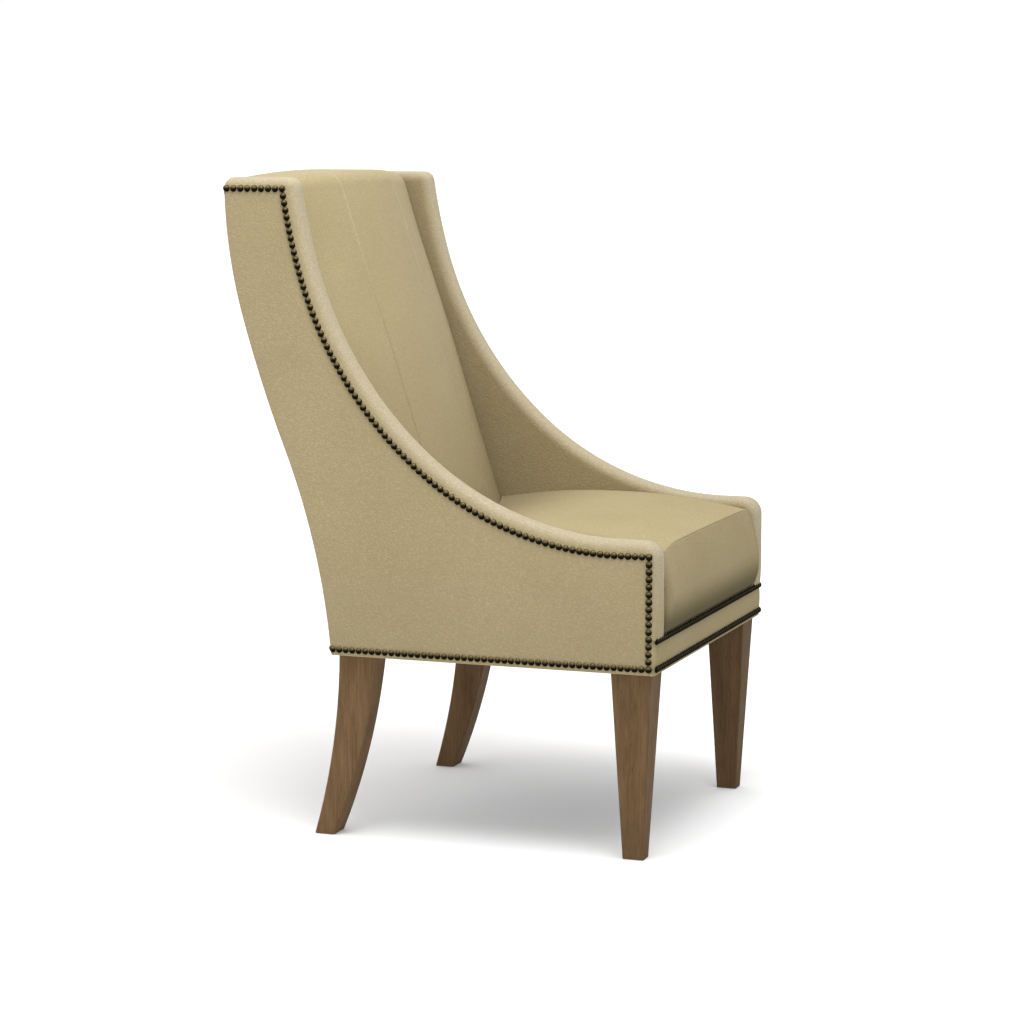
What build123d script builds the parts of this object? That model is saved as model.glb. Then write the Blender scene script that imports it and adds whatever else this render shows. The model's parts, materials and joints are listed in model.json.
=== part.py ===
from build123d import *
import os
from math import asin, atan2, cos, degrees, radians, sin, sqrt

# A leather dining chair: a wooden frame with scooped plywood sides, webbing, foam, leather covers and dome nails.
# Millimetres, +Z up. The chair faces -Y, and left and right are the sitter's, so left is +X.
# While it is modelled, Y counts back from the face of the front band. The saved pieces are moved so that
# the origin is on the floor, under the middle of the chair.

# Body
BODY_WIDTH = 598.6
BODY_DEPTH = 531.8
BODY_BOTTOM = 292.0
LEATHER = 2.0
LEATHER_LIP = 7.0
SOFT_GAP = 0.3

# Arms and wings: level arm, then three tangent arcs up to the wing
ARM_THICKNESS = 42.0
ARM_TOP = 495.5
ARM_PROUD = 4.0
ARM_CORNER = 28.0
ARM_LEVEL_DEPTH = 57.6
SCOOP_LOW_RADIUS = 489.0
SCOOP_LOW_TURN = 41.8
SCOOP_MID_RADIUS = 594.0
SCOOP_MID_TURN = 32.7
SCOOP_HIGH_RADIUS = 976.0
WING_TOP = 1035.0
WING_CORNER = 20.0
ROLL_RADIUS = 15.0
ROLL_PAD = 8.0

# Outside back: three tangent arcs up from the bottom edge
BACK_FOOT_LEAN = 4.9
BACK_LOW_RADIUS = 1134.0
BACK_LOW_TURN = 16.8
BACK_MID_RADIUS = 2068.0
BACK_MID_TURN = 6.0
BACK_HIGH_RADIUS = 776.0
BACK_BOARD = 6.0

# Frame
PLY = 14.5
RAIL_HEIGHT = 60.0
RAIL_THICKNESS = 24.0
POST_THICKNESS = 42.8
POST_DEPTH = 71.8
POST_CAP = 12.0
CREST_HEIGHT = 60.0
CREST_GAP = 2.1
LUMBAR_HEIGHT = 50.0
LUMBAR_RISE = 130.0
BLOCK_SIDE = 75.0
BLOCK_HEIGHT = 40.0

# Legs
FRONT_LEG_TOP_WIDTH = 60.0
FRONT_LEG_TOP_DEPTH = 64.0
FRONT_LEG_FOOT_WIDTH = 28.0
FRONT_LEG_FOOT_DEPTH = 33.5
FRONT_LEG_SIDE_INSET = 9.3
FRONT_LEG_FRONT_INSET = 9.3
LEG_EDGE = 2.0
REAR_FOOT_DEPTH = 33.0
REAR_FOOT_KICK = 75.0
REAR_LEG_FRONT_BOW = 10.6
REAR_LEG_REAR_BOW = 10.4
GLIDE_RADIUS = 9.0
GLIDE_THICKNESS = 4.0
GLIDE_PROUD = 1.0

# Webbing
STRAP_THICKNESS = 2.0
STRAP_WIDTH = 50.0
STRAP_END = 3.0
LENGTHWISE_STRAPS = 4
CROSS_STRAPS = 3
BACK_STRAPS = 5

# Seat cushion
SEAT_SIDE_TOP = 500.5
SEAT_CROWN = 8.0
SEAT_FRONT_TOP = 480.0
SEAT_FRONT_CROWN = 7.0
SEAT_REAR_TOP = 480.0
SEAT_BULGE = 12.5
SEAT_SIDE_BULGE = 10.0
SEAT_EDGE_SETBACK = 8.0
SEAT_EDGE_BOW = 10.4

# Inside back cushion
BACK_PAD = 46.8
BACK_CROWN = 48.0
BACK_TOP_DROP = 1.0
BACK_TOP_CROWN = 9.0
BACK_FRONT_CORNER = 30.0
BACK_REAR_CORNER = 9.0

# Dome nails
NAIL_RADIUS = 5.0
NAIL_DOME = 3.6
NAIL_SHANK_RADIUS = 0.8
NAIL_SHANK = 8.0
NAIL_PITCH = 11.1
NAIL_TOP_PITCH = 11.8
NAIL_SCOOP_INSET = 22.0
NAIL_TOP_INSET = 17.0
NAIL_FRONT_INSET = 10.0
NAIL_BOTTOM_INSET = 10.3
NAIL_REAR_INSET = 5.5
BAND_NAIL_RISE = 53.0
BAND_CORNER = 8.0
NAIL_EDGE = 0.5

# Fasteners
HOLE_CLEARANCE = 0.1
SCREW_RADIUS = 2.0
SCREW_HEAD_RADIUS = 4.0
SCREW_HEAD = 3.0
SCREW_GRIP = 18.0
BLOCK_SCREW_INSET = 30.0
BLOCK_SCREW_COVER = 12.0
PANEL_SCREW_REACH = 70.0
PANEL_SCREW_STEP = 150.0
PANEL_POST_SCREWS = 3
DOWEL_RADIUS = 4.0
DOWEL_LENGTH = 36.0
DOWEL_EDGE = 12.0
BOLT_RADIUS = 4.0
BOLT_IN_LEG = 45.0
BOLT_REACH = 16.0
BOLT_TIP = 2.0
NUT_ACROSS = 13.0
NUT_HEIGHT = 6.5
WASHER_RADIUS = 9.0
WASHER_THICKNESS = 1.6

# Dust cover
DUST_COVER = 0.8
DUST_MARGIN = 2.0

# Planes and levels that several pieces share
OUTER = BODY_WIDTH / 2
PLY_OUTER = OUTER - LEATHER
PLY_INNER = PLY_OUTER - PLY
ARM_INNER = OUTER - ARM_THICKNESS
ARM_FRONT = -ARM_PROUD
PLY_EASE = ROLL_RADIUS - ARM_PROUD - LEATHER
RAIL_INNER = PLY_INNER - RAIL_THICKNESS
RAIL_REAR = LEATHER + RAIL_THICKNESS
POST_FRONT = BODY_DEPTH - POST_DEPTH
POST_INNER = PLY_INNER - POST_THICKNESS
RAIL_BOTTOM = BODY_BOTTOM + LEATHER
RAIL_TOP = RAIL_BOTTOM + RAIL_HEIGHT
SIDE_RAIL_TOP = RAIL_TOP + STRAP_THICKNESS
SOFT_BOTTOM = SIDE_RAIL_TOP + STRAP_THICKNESS + SOFT_GAP
BLOCK_TOP = RAIL_BOTTOM + BLOCK_HEIGHT
NAIL_LOW = BODY_BOTTOM + NAIL_BOTTOM_INSET
NAIL_HIGH = BODY_BOTTOM + BAND_NAIL_RISE
NAIL_TOP = WING_TOP - NAIL_TOP_INSET
BAND_TOP = NAIL_HIGH + NAIL_RADIUS + NAIL_EDGE
COVER_BOTTOM = BAND_TOP + SOFT_GAP
POST_TOP = WING_TOP - POST_CAP
BACK_SIDE_TOP = WING_TOP - BACK_TOP_DROP
POST_INSET = LEATHER + BACK_BOARD
PLY_INSET = LEATHER + ROLL_PAD
PAD_INSET = LEATHER + SOFT_GAP
FOAM_INSET = LEATHER + 2 * SOFT_GAP
CUSHION_HALF = ARM_INNER - SOFT_GAP
FRONT_LEG_OUTER = OUTER - FRONT_LEG_SIDE_INSET
FRONT_LEG_X = FRONT_LEG_OUTER - FRONT_LEG_TOP_WIDTH / 2
FRONT_LEG_Y = FRONT_LEG_FRONT_INSET + FRONT_LEG_TOP_DEPTH / 2
REAR_LEG_X = (PLY_INNER + POST_INNER) / 2
REAR_FOOT_Y = POST_FRONT + REAR_FOOT_KICK + REAR_FOOT_DEPTH / 2


def polar(centre, radius, angle):
    """The side-view point at an angle, in degrees, on a circle."""
    turn = radians(angle)
    return (centre[0] + radius * cos(turn), centre[1] + radius * sin(turn))


def bearing(centre, point):
    """The angle, in degrees, from a centre to a point."""
    return degrees(atan2(point[1] - centre[1], point[0] - centre[0]))


def arc(centre, radius, first, last):
    """The arc of a circle between two angles."""
    middle = (first + last) / 2
    return ThreePointArc(*[polar(centre, radius, angle) for angle in (first, middle, last)])


def bowed(start, end, bow):
    """An arc between two points that bows to the left of its run."""
    run = Vector(end) - Vector(start)
    left = Vector(-run.Y, run.X).normalized()
    middle = Vector(start) + run * 0.5 + left * bow
    return ThreePointArc(start, middle, end)


# Centres of the scoop's arcs, each in line with the last one at the point where they join
LOW_END = SCOOP_LOW_TURN - 90
MID_END = LOW_END + SCOOP_MID_TURN
LOW_CENTRE = (ARM_LEVEL_DEPTH, ARM_TOP + SCOOP_LOW_RADIUS)
MID_CENTRE = polar(LOW_CENTRE, SCOOP_LOW_RADIUS - SCOOP_MID_RADIUS, LOW_END)
HIGH_CENTRE = polar(MID_CENTRE, SCOOP_MID_RADIUS - SCOOP_HIGH_RADIUS, MID_END)
WING_CENTRE_Z = WING_TOP - WING_CORNER
WING_REACH = SCOOP_HIGH_RADIUS + WING_CORNER
WING_CENTRE = (HIGH_CENTRE[0] + sqrt(WING_REACH ** 2 - (WING_CENTRE_Z - HIGH_CENTRE[1]) ** 2), WING_CENTRE_Z)
HIGH_END = bearing(HIGH_CENTRE, WING_CENTRE)

# Centres of the outside back's arcs: the low one turns rearwards, the other two turn upright again
BACK_LOW_FIRST = 180 - BACK_FOOT_LEAN
BACK_LOW_LAST = BACK_LOW_FIRST - BACK_LOW_TURN
BACK_MID_FIRST = BACK_LOW_LAST - 180
BACK_MID_LAST = BACK_MID_FIRST + BACK_MID_TURN
BACK_LOW_CENTRE = polar((BODY_DEPTH, BODY_BOTTOM), BACK_LOW_RADIUS, BACK_LOW_FIRST - 180)
BACK_LOW_POINT = polar(BACK_LOW_CENTRE, BACK_LOW_RADIUS, BACK_LOW_LAST)
BACK_MID_CENTRE = polar(BACK_LOW_POINT, BACK_MID_RADIUS, BACK_LOW_LAST)
BACK_HIGH_CENTRE = polar(BACK_MID_CENTRE, BACK_MID_RADIUS - BACK_HIGH_RADIUS, BACK_MID_LAST)


def back_low_angle(inset, level):
    """The angle on the back's low arc, drawn inside its face, at a level."""
    return 180 - degrees(asin((level - BACK_LOW_CENTRE[1]) / (BACK_LOW_RADIUS + inset)))


def back_high_angle(inset, level):
    """The angle on the back's high arc, drawn inside its face, at a level."""
    return degrees(asin((level - BACK_HIGH_CENTRE[1]) / (BACK_HIGH_RADIUS - inset)))


def back_edges(inset, bottom, top):
    """The arcs of the outside back, drawn a distance inside its face, from a low level to a high one."""
    return [
        arc(BACK_LOW_CENTRE, BACK_LOW_RADIUS + inset, back_low_angle(inset, bottom), BACK_LOW_LAST),
        arc(BACK_MID_CENTRE, BACK_MID_RADIUS - inset, BACK_MID_FIRST, BACK_MID_LAST),
        arc(BACK_HIGH_CENTRE, BACK_HIGH_RADIUS - inset, BACK_MID_LAST, back_high_angle(inset, top)),
    ]


def scoop_edges(inset, last):
    """The arcs of the scoop, drawn a distance inside its edge, up to an angle on the high arc."""
    return [
        arc(LOW_CENTRE, SCOOP_LOW_RADIUS + inset, -90, LOW_END),
        arc(MID_CENTRE, SCOOP_MID_RADIUS + inset, LOW_END, MID_END),
        arc(HIGH_CENTRE, SCOOP_HIGH_RADIUS + inset, MID_END, last),
    ]


NAIL_TOP_ANGLE = degrees(asin((NAIL_TOP - HIGH_CENTRE[1]) / (SCOOP_HIGH_RADIUS + NAIL_SCOOP_INSET)))
NAIL_ARM_LEVEL = ARM_TOP - NAIL_SCOOP_INSET
BACK_NAIL_POINT = polar(BACK_HIGH_CENTRE, BACK_HIGH_RADIUS, back_high_angle(0, NAIL_TOP))
BACK_FOOT_POINT = polar(BACK_LOW_CENTRE, BACK_LOW_RADIUS, back_low_angle(0, NAIL_LOW))
BACK_TOP_Y = BACK_NAIL_POINT[0]
CENTRE_Y = (BACK_TOP_Y + NAIL_DOME - SEAT_BULGE) / 2
CREST_FRONT = BACK_TOP_Y - POST_INSET - CREST_GAP - RAIL_THICKNESS
LEAN_SLOPE = (CREST_FRONT - POST_FRONT) / (POST_TOP - RAIL_TOP)
BACK_LEAN = degrees(atan2(LEAN_SLOPE, 1))
STRAP_STEP = STRAP_THICKNESS / cos(radians(BACK_LEAN))


# Solids from outlines
def side_solid(edges, inner, outer):
    """A solid with a side-view outline, between two distances from the middle plane."""
    return extrude(Plane.YZ.offset(inner) * make_face(edges), amount=outer - inner)


def side_block(points, inner, outer):
    """A solid with a side-view outline of straight runs."""
    return side_solid(Polyline(*points, close=True).edges(), inner, outer)


def block(x0, x1, y0, y1, z0, z1):
    """A box between two corners."""
    return Pos((x0 + x1) / 2, (y0 + y1) / 2, (z0 + z1) / 2) * Box(x1 - x0, y1 - y0, z1 - z0)


def pin(start, direction, radius, length):
    """A round bar from a point along a direction."""
    return extrude(Plane(start, z_dir=direction) * Circle(radius), amount=length)


def mirrored(shape):
    """The same piece on the other side of the chair."""
    return mirror(shape, about=Plane.YZ)


def both_sides(shapes):
    """Loose solids of the left side, with those of the right side."""
    return [*shapes, *[mirrored(shape) for shape in shapes]]


def group(shapes):
    """Several loose solids as one piece."""
    return Compound(children=[solid for shape in shapes for solid in shape.solids()])


# Arm and wing
def wing_edges(inset, front, bottom, back_inset):
    """The rounded outline of an arm and its wing, drawn a distance inside the roll."""
    corner = ARM_CORNER - inset
    arm_corner = arc((front + corner, ARM_TOP - ARM_CORNER), corner, 180, 90)
    wing_corner = arc(WING_CENTRE, WING_CORNER - inset, HIGH_END + 180, 90)
    scoop = scoop_edges(inset, HIGH_END)
    rear = back_edges(back_inset, bottom, WING_TOP - inset)
    return [
        Line((front, bottom), arm_corner @ 0),
        arm_corner,
        Line(arm_corner @ 1, scoop[0] @ 0),
        *scoop,
        wing_corner,
        Line(wing_corner @ 1, rear[-1] @ 1),
        *rear,
        Line((front, bottom), rear[0] @ 0),
    ]


def rolled_edges(face, bottom, back_inset):
    """The edges of a wing's side face that the roll goes over: not the bottom one, nor those of the back."""
    rear = back_edges(back_inset, bottom, WING_TOP)
    chosen = []
    for edge in face.edges():
        middle = edge @ 0.5
        on_rear = min(line.distance_to((middle.Y, middle.Z, 0)) for line in rear) < SOFT_GAP
        if middle.Z > bottom + SOFT_GAP and not on_rear:
            chosen.append(edge)
    return chosen


def arm_form(inset):
    """The whole soft arm and wing, drawn a distance inside the leather's face, rolled over both edges."""
    bottom = COVER_BOTTOM - inset
    form = side_solid(wing_edges(inset, ARM_FRONT + inset, bottom, inset), ARM_INNER + inset, OUTER - inset)
    sides = form.faces().filter_by(Axis.X).sort_by(Axis.X)
    chosen = rolled_edges(sides[0], bottom, inset) + rolled_edges(sides[-1], bottom, inset)
    return fillet(chosen, ROLL_RADIUS - inset)


def post_line(level):
    """Depth of the leaning line that the back posts' front edges follow above the rails."""
    return POST_FRONT + (level - RAIL_TOP) * LEAN_SLOPE


def post_front(level):
    """Depth of the back posts' front edge: upright beside the rails, then leaning back."""
    return max(POST_FRONT, post_line(level))


def post_zone():
    """The room of a back post and what lies behind it, with a gap in front and on top."""
    top = POST_TOP + SOFT_GAP
    rear = 2 * BODY_DEPTH
    front = POST_FRONT - SOFT_GAP
    lean = post_front(top) - SOFT_GAP
    points = [(front, BODY_BOTTOM), (front, RAIL_TOP), (lean, top), (rear, top), (rear, BODY_BOTTOM)]
    return side_block(points, 0, PLY_INNER + SOFT_GAP)


def side_panel():
    """Plywood side of one arm and wing, eased along its outer edge."""
    panel = side_solid(wing_edges(PLY_INSET, LEATHER, RAIL_BOTTOM, LEATHER), PLY_INNER, PLY_OUTER)
    outer_face = panel.faces().filter_by(Axis.X).sort_by(Axis.X)[-1]
    return fillet(rolled_edges(outer_face, RAIL_BOTTOM, LEATHER), PLY_EASE)


def panel_edges():
    """The outline of an outside panel: the nail line in front and on top, the body's edge below and behind."""
    scoop = scoop_edges(NAIL_SCOOP_INSET, NAIL_TOP_ANGLE)
    rear = back_edges(0, BODY_BOTTOM, NAIL_TOP)
    corner = (NAIL_FRONT_INSET, NAIL_ARM_LEVEL)
    return [
        Line((NAIL_FRONT_INSET, BODY_BOTTOM), corner),
        Line(corner, scoop[0] @ 0),
        *scoop,
        Line(scoop[-1] @ 1, rear[-1] @ 1),
        *rear,
        Line((NAIL_FRONT_INSET, BODY_BOTTOM), rear[0] @ 0),
    ]


def outside_panel():
    """Leather of one outside face, folded in under the body."""
    lip_inner = PLY_OUTER - LEATHER_LIP
    lip_rear = BODY_DEPTH - LEATHER_LIP
    lip = block(lip_inner, PLY_OUTER, NAIL_FRONT_INSET, lip_rear, BODY_BOTTOM, RAIL_BOTTOM)
    return side_solid(panel_edges(), PLY_OUTER, OUTER) + lip


def arm_cover():
    """Leather of one arm and wing: up the inner face, over the roll and down to the nail line."""
    skin = arm_form(0) - arm_form(LEATHER)
    skin -= side_solid(panel_edges(), PLY_OUTER, 2 * OUTER)
    rear = back_edges(LEATHER, BODY_BOTTOM, NAIL_TOP)
    behind = 2 * BODY_DEPTH
    rear_outline = [
        *rear,
        Line(rear[-1] @ 1, (behind, NAIL_TOP)),
        Line((behind, NAIL_TOP), (behind, BODY_BOTTOM)),
        Line((behind, BODY_BOTTOM), rear[0] @ 0),
    ]
    skin -= side_solid(rear_outline, 0, 2 * OUTER)
    skin -= post_zone()
    inner_front = ARM_INNER + ROLL_RADIUS
    skin -= block(0, inner_front, LEATHER - SOFT_GAP, BODY_DEPTH, BODY_BOTTOM, SOFT_BOTTOM)
    return skin


def arm_pad():
    """Foam of one arm and wing, round the plywood's edge and inside its face."""
    room = wing_edges(PLY_INSET - SOFT_GAP, LEATHER - SOFT_GAP, BODY_BOTTOM, 0)
    pad = arm_form(PAD_INSET) - side_solid(room, PLY_INNER - SOFT_GAP, 2 * OUTER) - post_zone()
    return pad - block(0, 2 * OUTER, ARM_FRONT, 2 * BODY_DEPTH, BODY_BOTTOM, SOFT_BOTTOM)


# Seat and back cushions
def crown_share(x):
    """How much of a cushion's crown stands at a distance from the middle: all of it there, none at the sides."""
    return 1 - (x / CUSHION_HALF) ** 2


def back_face(level, x):
    """Depth of the inside back's leather face at a level and a distance from the middle."""
    return post_line(level) - STRAP_STEP - SOFT_GAP - BACK_PAD - BACK_CROWN * crown_share(x)


def across(section, inset):
    """A solid through five sections from one side of a cushion to the other."""
    half = CUSHION_HALF - inset
    places = [-half, -half / 2, 0, half / 2, half]
    return loft([Plane.YZ.offset(x) * make_face(section(x, inset)) for x in places])


def seat_section(x, inset, bottom):
    """The seat's outline at a distance from the middle: bulged front, front edge, crowned top, slanted rear."""
    share = crown_share(x)
    bulge = SEAT_SIDE_BULGE + (SEAT_BULGE - SEAT_SIDE_BULGE) * share
    edge_z = SEAT_FRONT_TOP + SEAT_FRONT_CROWN * share - inset
    edge_y = inset + SEAT_EDGE_SETBACK - SEAT_EDGE_BOW * share
    rear_z = SEAT_REAR_TOP - inset
    rear_y = back_face(rear_z, x) - SOFT_GAP - inset
    foot_y = back_face(bottom, x) - SOFT_GAP - inset
    top_y = (edge_y + rear_y) / 2
    top_z = SEAT_SIDE_TOP + SEAT_CROWN * share - inset
    front_z = (COVER_BOTTOM + edge_z) / 2
    foot_front = inset - SOFT_GAP
    return [
        ThreePointArc((foot_front, bottom), (inset - bulge, front_z), (edge_y, edge_z)),
        ThreePointArc((edge_y, edge_z), (top_y, top_z), (rear_y, rear_z)),
        Line((rear_y, rear_z), (foot_y, bottom)),
        Line((foot_y, bottom), (foot_front, bottom)),
    ]


def seat_form(inset, bottom):
    """The whole seat cushion, drawn a distance inside the leather's face, down to a level."""
    return across(lambda x, depth: seat_section(x, depth, bottom), inset)


def seat_foam():
    """Seat foam, on the cross straps."""
    return seat_form(FOAM_INSET, SOFT_BOTTOM)


def seat_cover():
    """Seat leather, over the top, down the sides and the rear, and down the front to the band."""
    skin = seat_form(0, COVER_BOTTOM) - seat_form(LEATHER, COVER_BOTTOM - LEATHER)
    return skin - block(-OUTER, OUTER, LEATHER - SOFT_GAP, BODY_DEPTH, BODY_BOTTOM, SOFT_BOTTOM)


def back_section(x, inset, hook_y, hook_z, bottom):
    """The inside back's outline at a distance from the middle: leaning face, rolled top, hook over the crest."""
    lean = radians(BACK_LEAN)
    top = BACK_SIDE_TOP + BACK_TOP_CROWN * crown_share(x)
    corner_z = top - BACK_FRONT_CORNER * (1 - sin(lean))
    corner = (back_face(corner_z, x), corner_z)
    centre = polar(corner, BACK_FRONT_CORNER, -BACK_LEAN)
    front_corner = arc(centre, BACK_FRONT_CORNER - inset, 180 - BACK_LEAN, 90)
    rear_centre = (BACK_TOP_Y - BACK_REAR_CORNER, top - BACK_REAR_CORNER)
    rear_corner = arc(rear_centre, BACK_REAR_CORNER - inset, 90, 0)
    foot = (back_face(bottom, x) + inset / cos(lean), bottom)
    hook_rear = (BACK_TOP_Y - inset, hook_z)
    hook_front = (post_front(hook_z) - STRAP_STEP - SOFT_GAP + hook_y, hook_z)
    foot_rear = (post_front(bottom) - STRAP_STEP - SOFT_GAP + hook_y, bottom)
    return [
        Line(foot, front_corner @ 0),
        front_corner,
        Line(front_corner @ 1, rear_corner @ 0),
        rear_corner,
        Line(rear_corner @ 1, hook_rear),
        Line(hook_rear, hook_front),
        Line(hook_front, foot_rear),
        Line(foot_rear, foot),
    ]


def back_form(inset, hook_y, hook_z, bottom):
    """The whole inside back cushion, drawn a distance inside the leather's face."""
    return across(lambda x, depth: back_section(x, depth, hook_y, hook_z, bottom), inset)


def back_foam():
    """Back foam, on the straps and hooked over the crest rail."""
    return back_form(FOAM_INSET, 0, POST_TOP + SOFT_GAP, SOFT_BOTTOM)


def inside_back_cover():
    """Inside back leather, over the top and down behind to the nail row, open against the frame."""
    room = back_form(LEATHER, LEATHER, NAIL_TOP - LEATHER, SOFT_BOTTOM - LEATHER)
    crest_front = post_front(NAIL_TOP) - STRAP_STEP - SOFT_GAP
    crest_rear = BACK_TOP_Y - LEATHER + SOFT_GAP
    crest = block(-OUTER, OUTER, crest_front, crest_rear, BODY_BOTTOM, POST_TOP + SOFT_GAP)
    return back_form(0, 0, NAIL_TOP, SOFT_BOTTOM) - room - crest


# Outside back, band and underside
def back_layer(near, far, bottom, top, half):
    """A sheet that follows the outside back, between two distances inside its face."""
    outer = back_edges(near, bottom, top)
    inner = back_edges(far, bottom, top)
    ends = [Line(outer[0] @ 0, inner[0] @ 0), Line(outer[-1] @ 1, inner[-1] @ 1)]
    return side_solid([*outer, *inner, *ends], -half, half)


def outside_back_cover():
    """Outside back leather, folded in under the body between the rear legs' panels."""
    rear = BODY_DEPTH - LEATHER
    lip = block(-PLY_INNER, PLY_INNER, BODY_DEPTH - LEATHER_LIP, rear, BODY_BOTTOM, RAIL_BOTTOM)
    return back_layer(0, LEATHER, BODY_BOTTOM, NAIL_TOP, PLY_OUTER) + lip


def band_plan(half, front, corner):
    """The plan of the band's face, rounded at the front corners and cut at the nail columns."""
    rear = NAIL_FRONT_INSET
    plan = Pos(0, (front + rear) / 2) * Rectangle(2 * half, rear - front)
    return fillet(plan.vertices().sort_by(Axis.Y)[:2], corner)


def front_band():
    """Leather band across the front and round its corners, folded in under the body."""
    outer = band_plan(OUTER, 0, BAND_CORNER)
    inner = band_plan(PLY_OUTER, LEATHER, BAND_CORNER - LEATHER)
    wall = extrude(Pos(0, 0, BODY_BOTTOM) * (outer - inner), amount=BAND_TOP - BODY_BOTTOM)
    lip = extrude(Pos(0, 0, BODY_BOTTOM) * outer, amount=LEATHER)
    return wall + (lip - block(-PLY_OUTER, PLY_OUTER, LEATHER_LIP, BODY_DEPTH, 0, BODY_DEPTH))


def dust_cover():
    """Thin cloth under the rails, cut out round the legs."""
    half = PLY_OUTER - LEATHER_LIP - DUST_MARGIN
    margin = LEATHER_LIP + DUST_MARGIN
    low = RAIL_BOTTOM - DUST_COVER
    cloth = block(-half, half, margin, BODY_DEPTH - margin, low, RAIL_BOTTOM)
    front_inner = FRONT_LEG_OUTER - FRONT_LEG_TOP_WIDTH - DUST_MARGIN
    front_rear = FRONT_LEG_FRONT_INSET + FRONT_LEG_TOP_DEPTH + DUST_MARGIN
    rear_inner = POST_INNER - DUST_MARGIN
    notches = [
        block(front_inner, OUTER, 0, front_rear, BODY_BOTTOM, RAIL_TOP),
        block(rear_inner, OUTER, POST_FRONT - DUST_MARGIN, 2 * BODY_DEPTH, BODY_BOTTOM, RAIL_TOP),
    ]
    return cloth - both_sides(notches)


# Legs, posts and rails
def front_leg():
    """A front leg, tapered on all four sides, with its long edges eased and a bore for the glide."""
    top = Pos(FRONT_LEG_X, FRONT_LEG_Y, RAIL_BOTTOM) * Rectangle(FRONT_LEG_TOP_WIDTH, FRONT_LEG_TOP_DEPTH)
    foot = Pos(FRONT_LEG_X, FRONT_LEG_Y, GLIDE_PROUD) * Rectangle(FRONT_LEG_FOOT_WIDTH, FRONT_LEG_FOOT_DEPTH)
    leg = loft([foot, top])
    long_edges = [edge for edge in leg.edges() if edge.bounding_box().size.Z > RAIL_BOTTOM / 2]
    return fillet(long_edges, LEG_EDGE)


def rear_leg():
    """A sabre rear leg with its long edges bevelled, that runs on upwards as the back post."""
    rear = back_edges(POST_INSET, RAIL_BOTTOM, POST_TOP)
    foot_front = (POST_FRONT + REAR_FOOT_KICK, GLIDE_PROUD)
    foot_rear = (POST_FRONT + REAR_FOOT_KICK + REAR_FOOT_DEPTH, GLIDE_PROUD)
    knee = (POST_FRONT, RAIL_BOTTOM)
    bend = (POST_FRONT, RAIL_TOP)
    top = (post_front(POST_TOP), POST_TOP)
    heel = tuple(rear[0] @ 0)[:2]
    leg_edges = [
        Line(foot_front, foot_rear),
        bowed(foot_front, knee, REAR_LEG_FRONT_BOW),
        bowed(foot_rear, heel, REAR_LEG_REAR_BOW),
        Line(knee, heel),
    ]
    leg = side_solid(leg_edges, POST_INNER, PLY_INNER)
    long_edges = [edge for edge in leg.edges() if edge.bounding_box().size.Z > RAIL_BOTTOM / 2]
    post_edges = [Line(knee, bend), Line(bend, top), Line(top, rear[-1] @ 1), *rear, Line(knee, heel)]
    return chamfer(long_edges, LEG_EDGE) + side_solid(post_edges, POST_INNER, PLY_INNER)


def back_rail(bottom, top):
    """A rail between the back posts, flush with their front edges."""
    front_low = post_front(bottom)
    front_high = post_front(top)
    points = [
        (front_low, bottom),
        (front_high, top),
        (front_high + RAIL_THICKNESS, top),
        (front_low + RAIL_THICKNESS, bottom),
    ]
    return side_block(points, -POST_INNER, POST_INNER)


def corner_block(corner_y, towards):
    """A three-cornered block in the angle of two rails."""
    corner = (RAIL_INNER, corner_y)
    points = [corner, (RAIL_INNER - BLOCK_SIDE, corner_y), (RAIL_INNER, corner_y + towards * BLOCK_SIDE)]
    face = make_face(Polyline(*points, close=True).edges())
    return extrude(Pos(0, 0, RAIL_BOTTOM) * face, amount=BLOCK_HEIGHT)


# Webbing
def spread(count, first, last):
    """Evenly spaced places between two ends, with half a space at each end."""
    step = (last - first) / count
    return [first + step * (k + 0.5) for k in range(count)]


def lengthwise_straps():
    """Straps from the front rail to the back rail."""
    half = STRAP_WIDTH / 2
    front = LEATHER + STRAP_END
    rear = POST_FRONT + RAIL_THICKNESS - STRAP_END
    places = spread(LENGTHWISE_STRAPS, -POST_INNER, POST_INNER)
    return [block(x - half, x + half, front, rear, RAIL_TOP, SIDE_RAIL_TOP) for x in places]


def cross_straps():
    """Straps from one side rail to the other, over the lengthwise ones."""
    half = STRAP_WIDTH / 2
    reach = PLY_INNER - STRAP_END
    top = SIDE_RAIL_TOP + STRAP_THICKNESS
    places = spread(CROSS_STRAPS, RAIL_REAR, POST_FRONT)
    return [block(-reach, reach, y - half, y + half, SIDE_RAIL_TOP, top) for y in places]


def back_straps():
    """Straps across the front edges of the back posts."""
    rise = STRAP_WIDTH * cos(radians(BACK_LEAN)) / 2
    reach = ARM_INNER - STRAP_END
    straps = []
    for level in spread(BACK_STRAPS, SOFT_BOTTOM, POST_TOP):
        low = (post_front(level - rise), level - rise)
        high = (post_front(level + rise), level + rise)
        points = [low, high, (high[0] - STRAP_STEP, high[1]), (low[0] - STRAP_STEP, low[1])]
        straps.append(side_block(points, -reach, reach))
    return straps


# Nails
def nail():
    """A dome nail whose head stands on the XY plane, with its shank below."""
    ball = (NAIL_RADIUS ** 2 + NAIL_DOME ** 2) / (2 * NAIL_DOME)
    centre = (0, NAIL_DOME - ball)
    dome = arc(centre, ball, bearing(centre, (NAIL_RADIUS, 0)), 90)
    outline = Polyline(dome @ 1, (0, -NAIL_SHANK), (NAIL_SHANK_RADIUS, -NAIL_SHANK), (NAIL_SHANK_RADIUS, 0), dome @ 0)
    return revolve(Plane.XZ * make_face([dome, *outline.edges()]), axis=Axis.Z)


def evenly(path, pitch):
    """Points along a path, both ends included, as near to a pitch as fits."""
    count = round(path.length / pitch)
    return [path.position_at(k / count * path.length, position_mode=PositionMode.LENGTH) for k in range(count + 1)]


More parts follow.
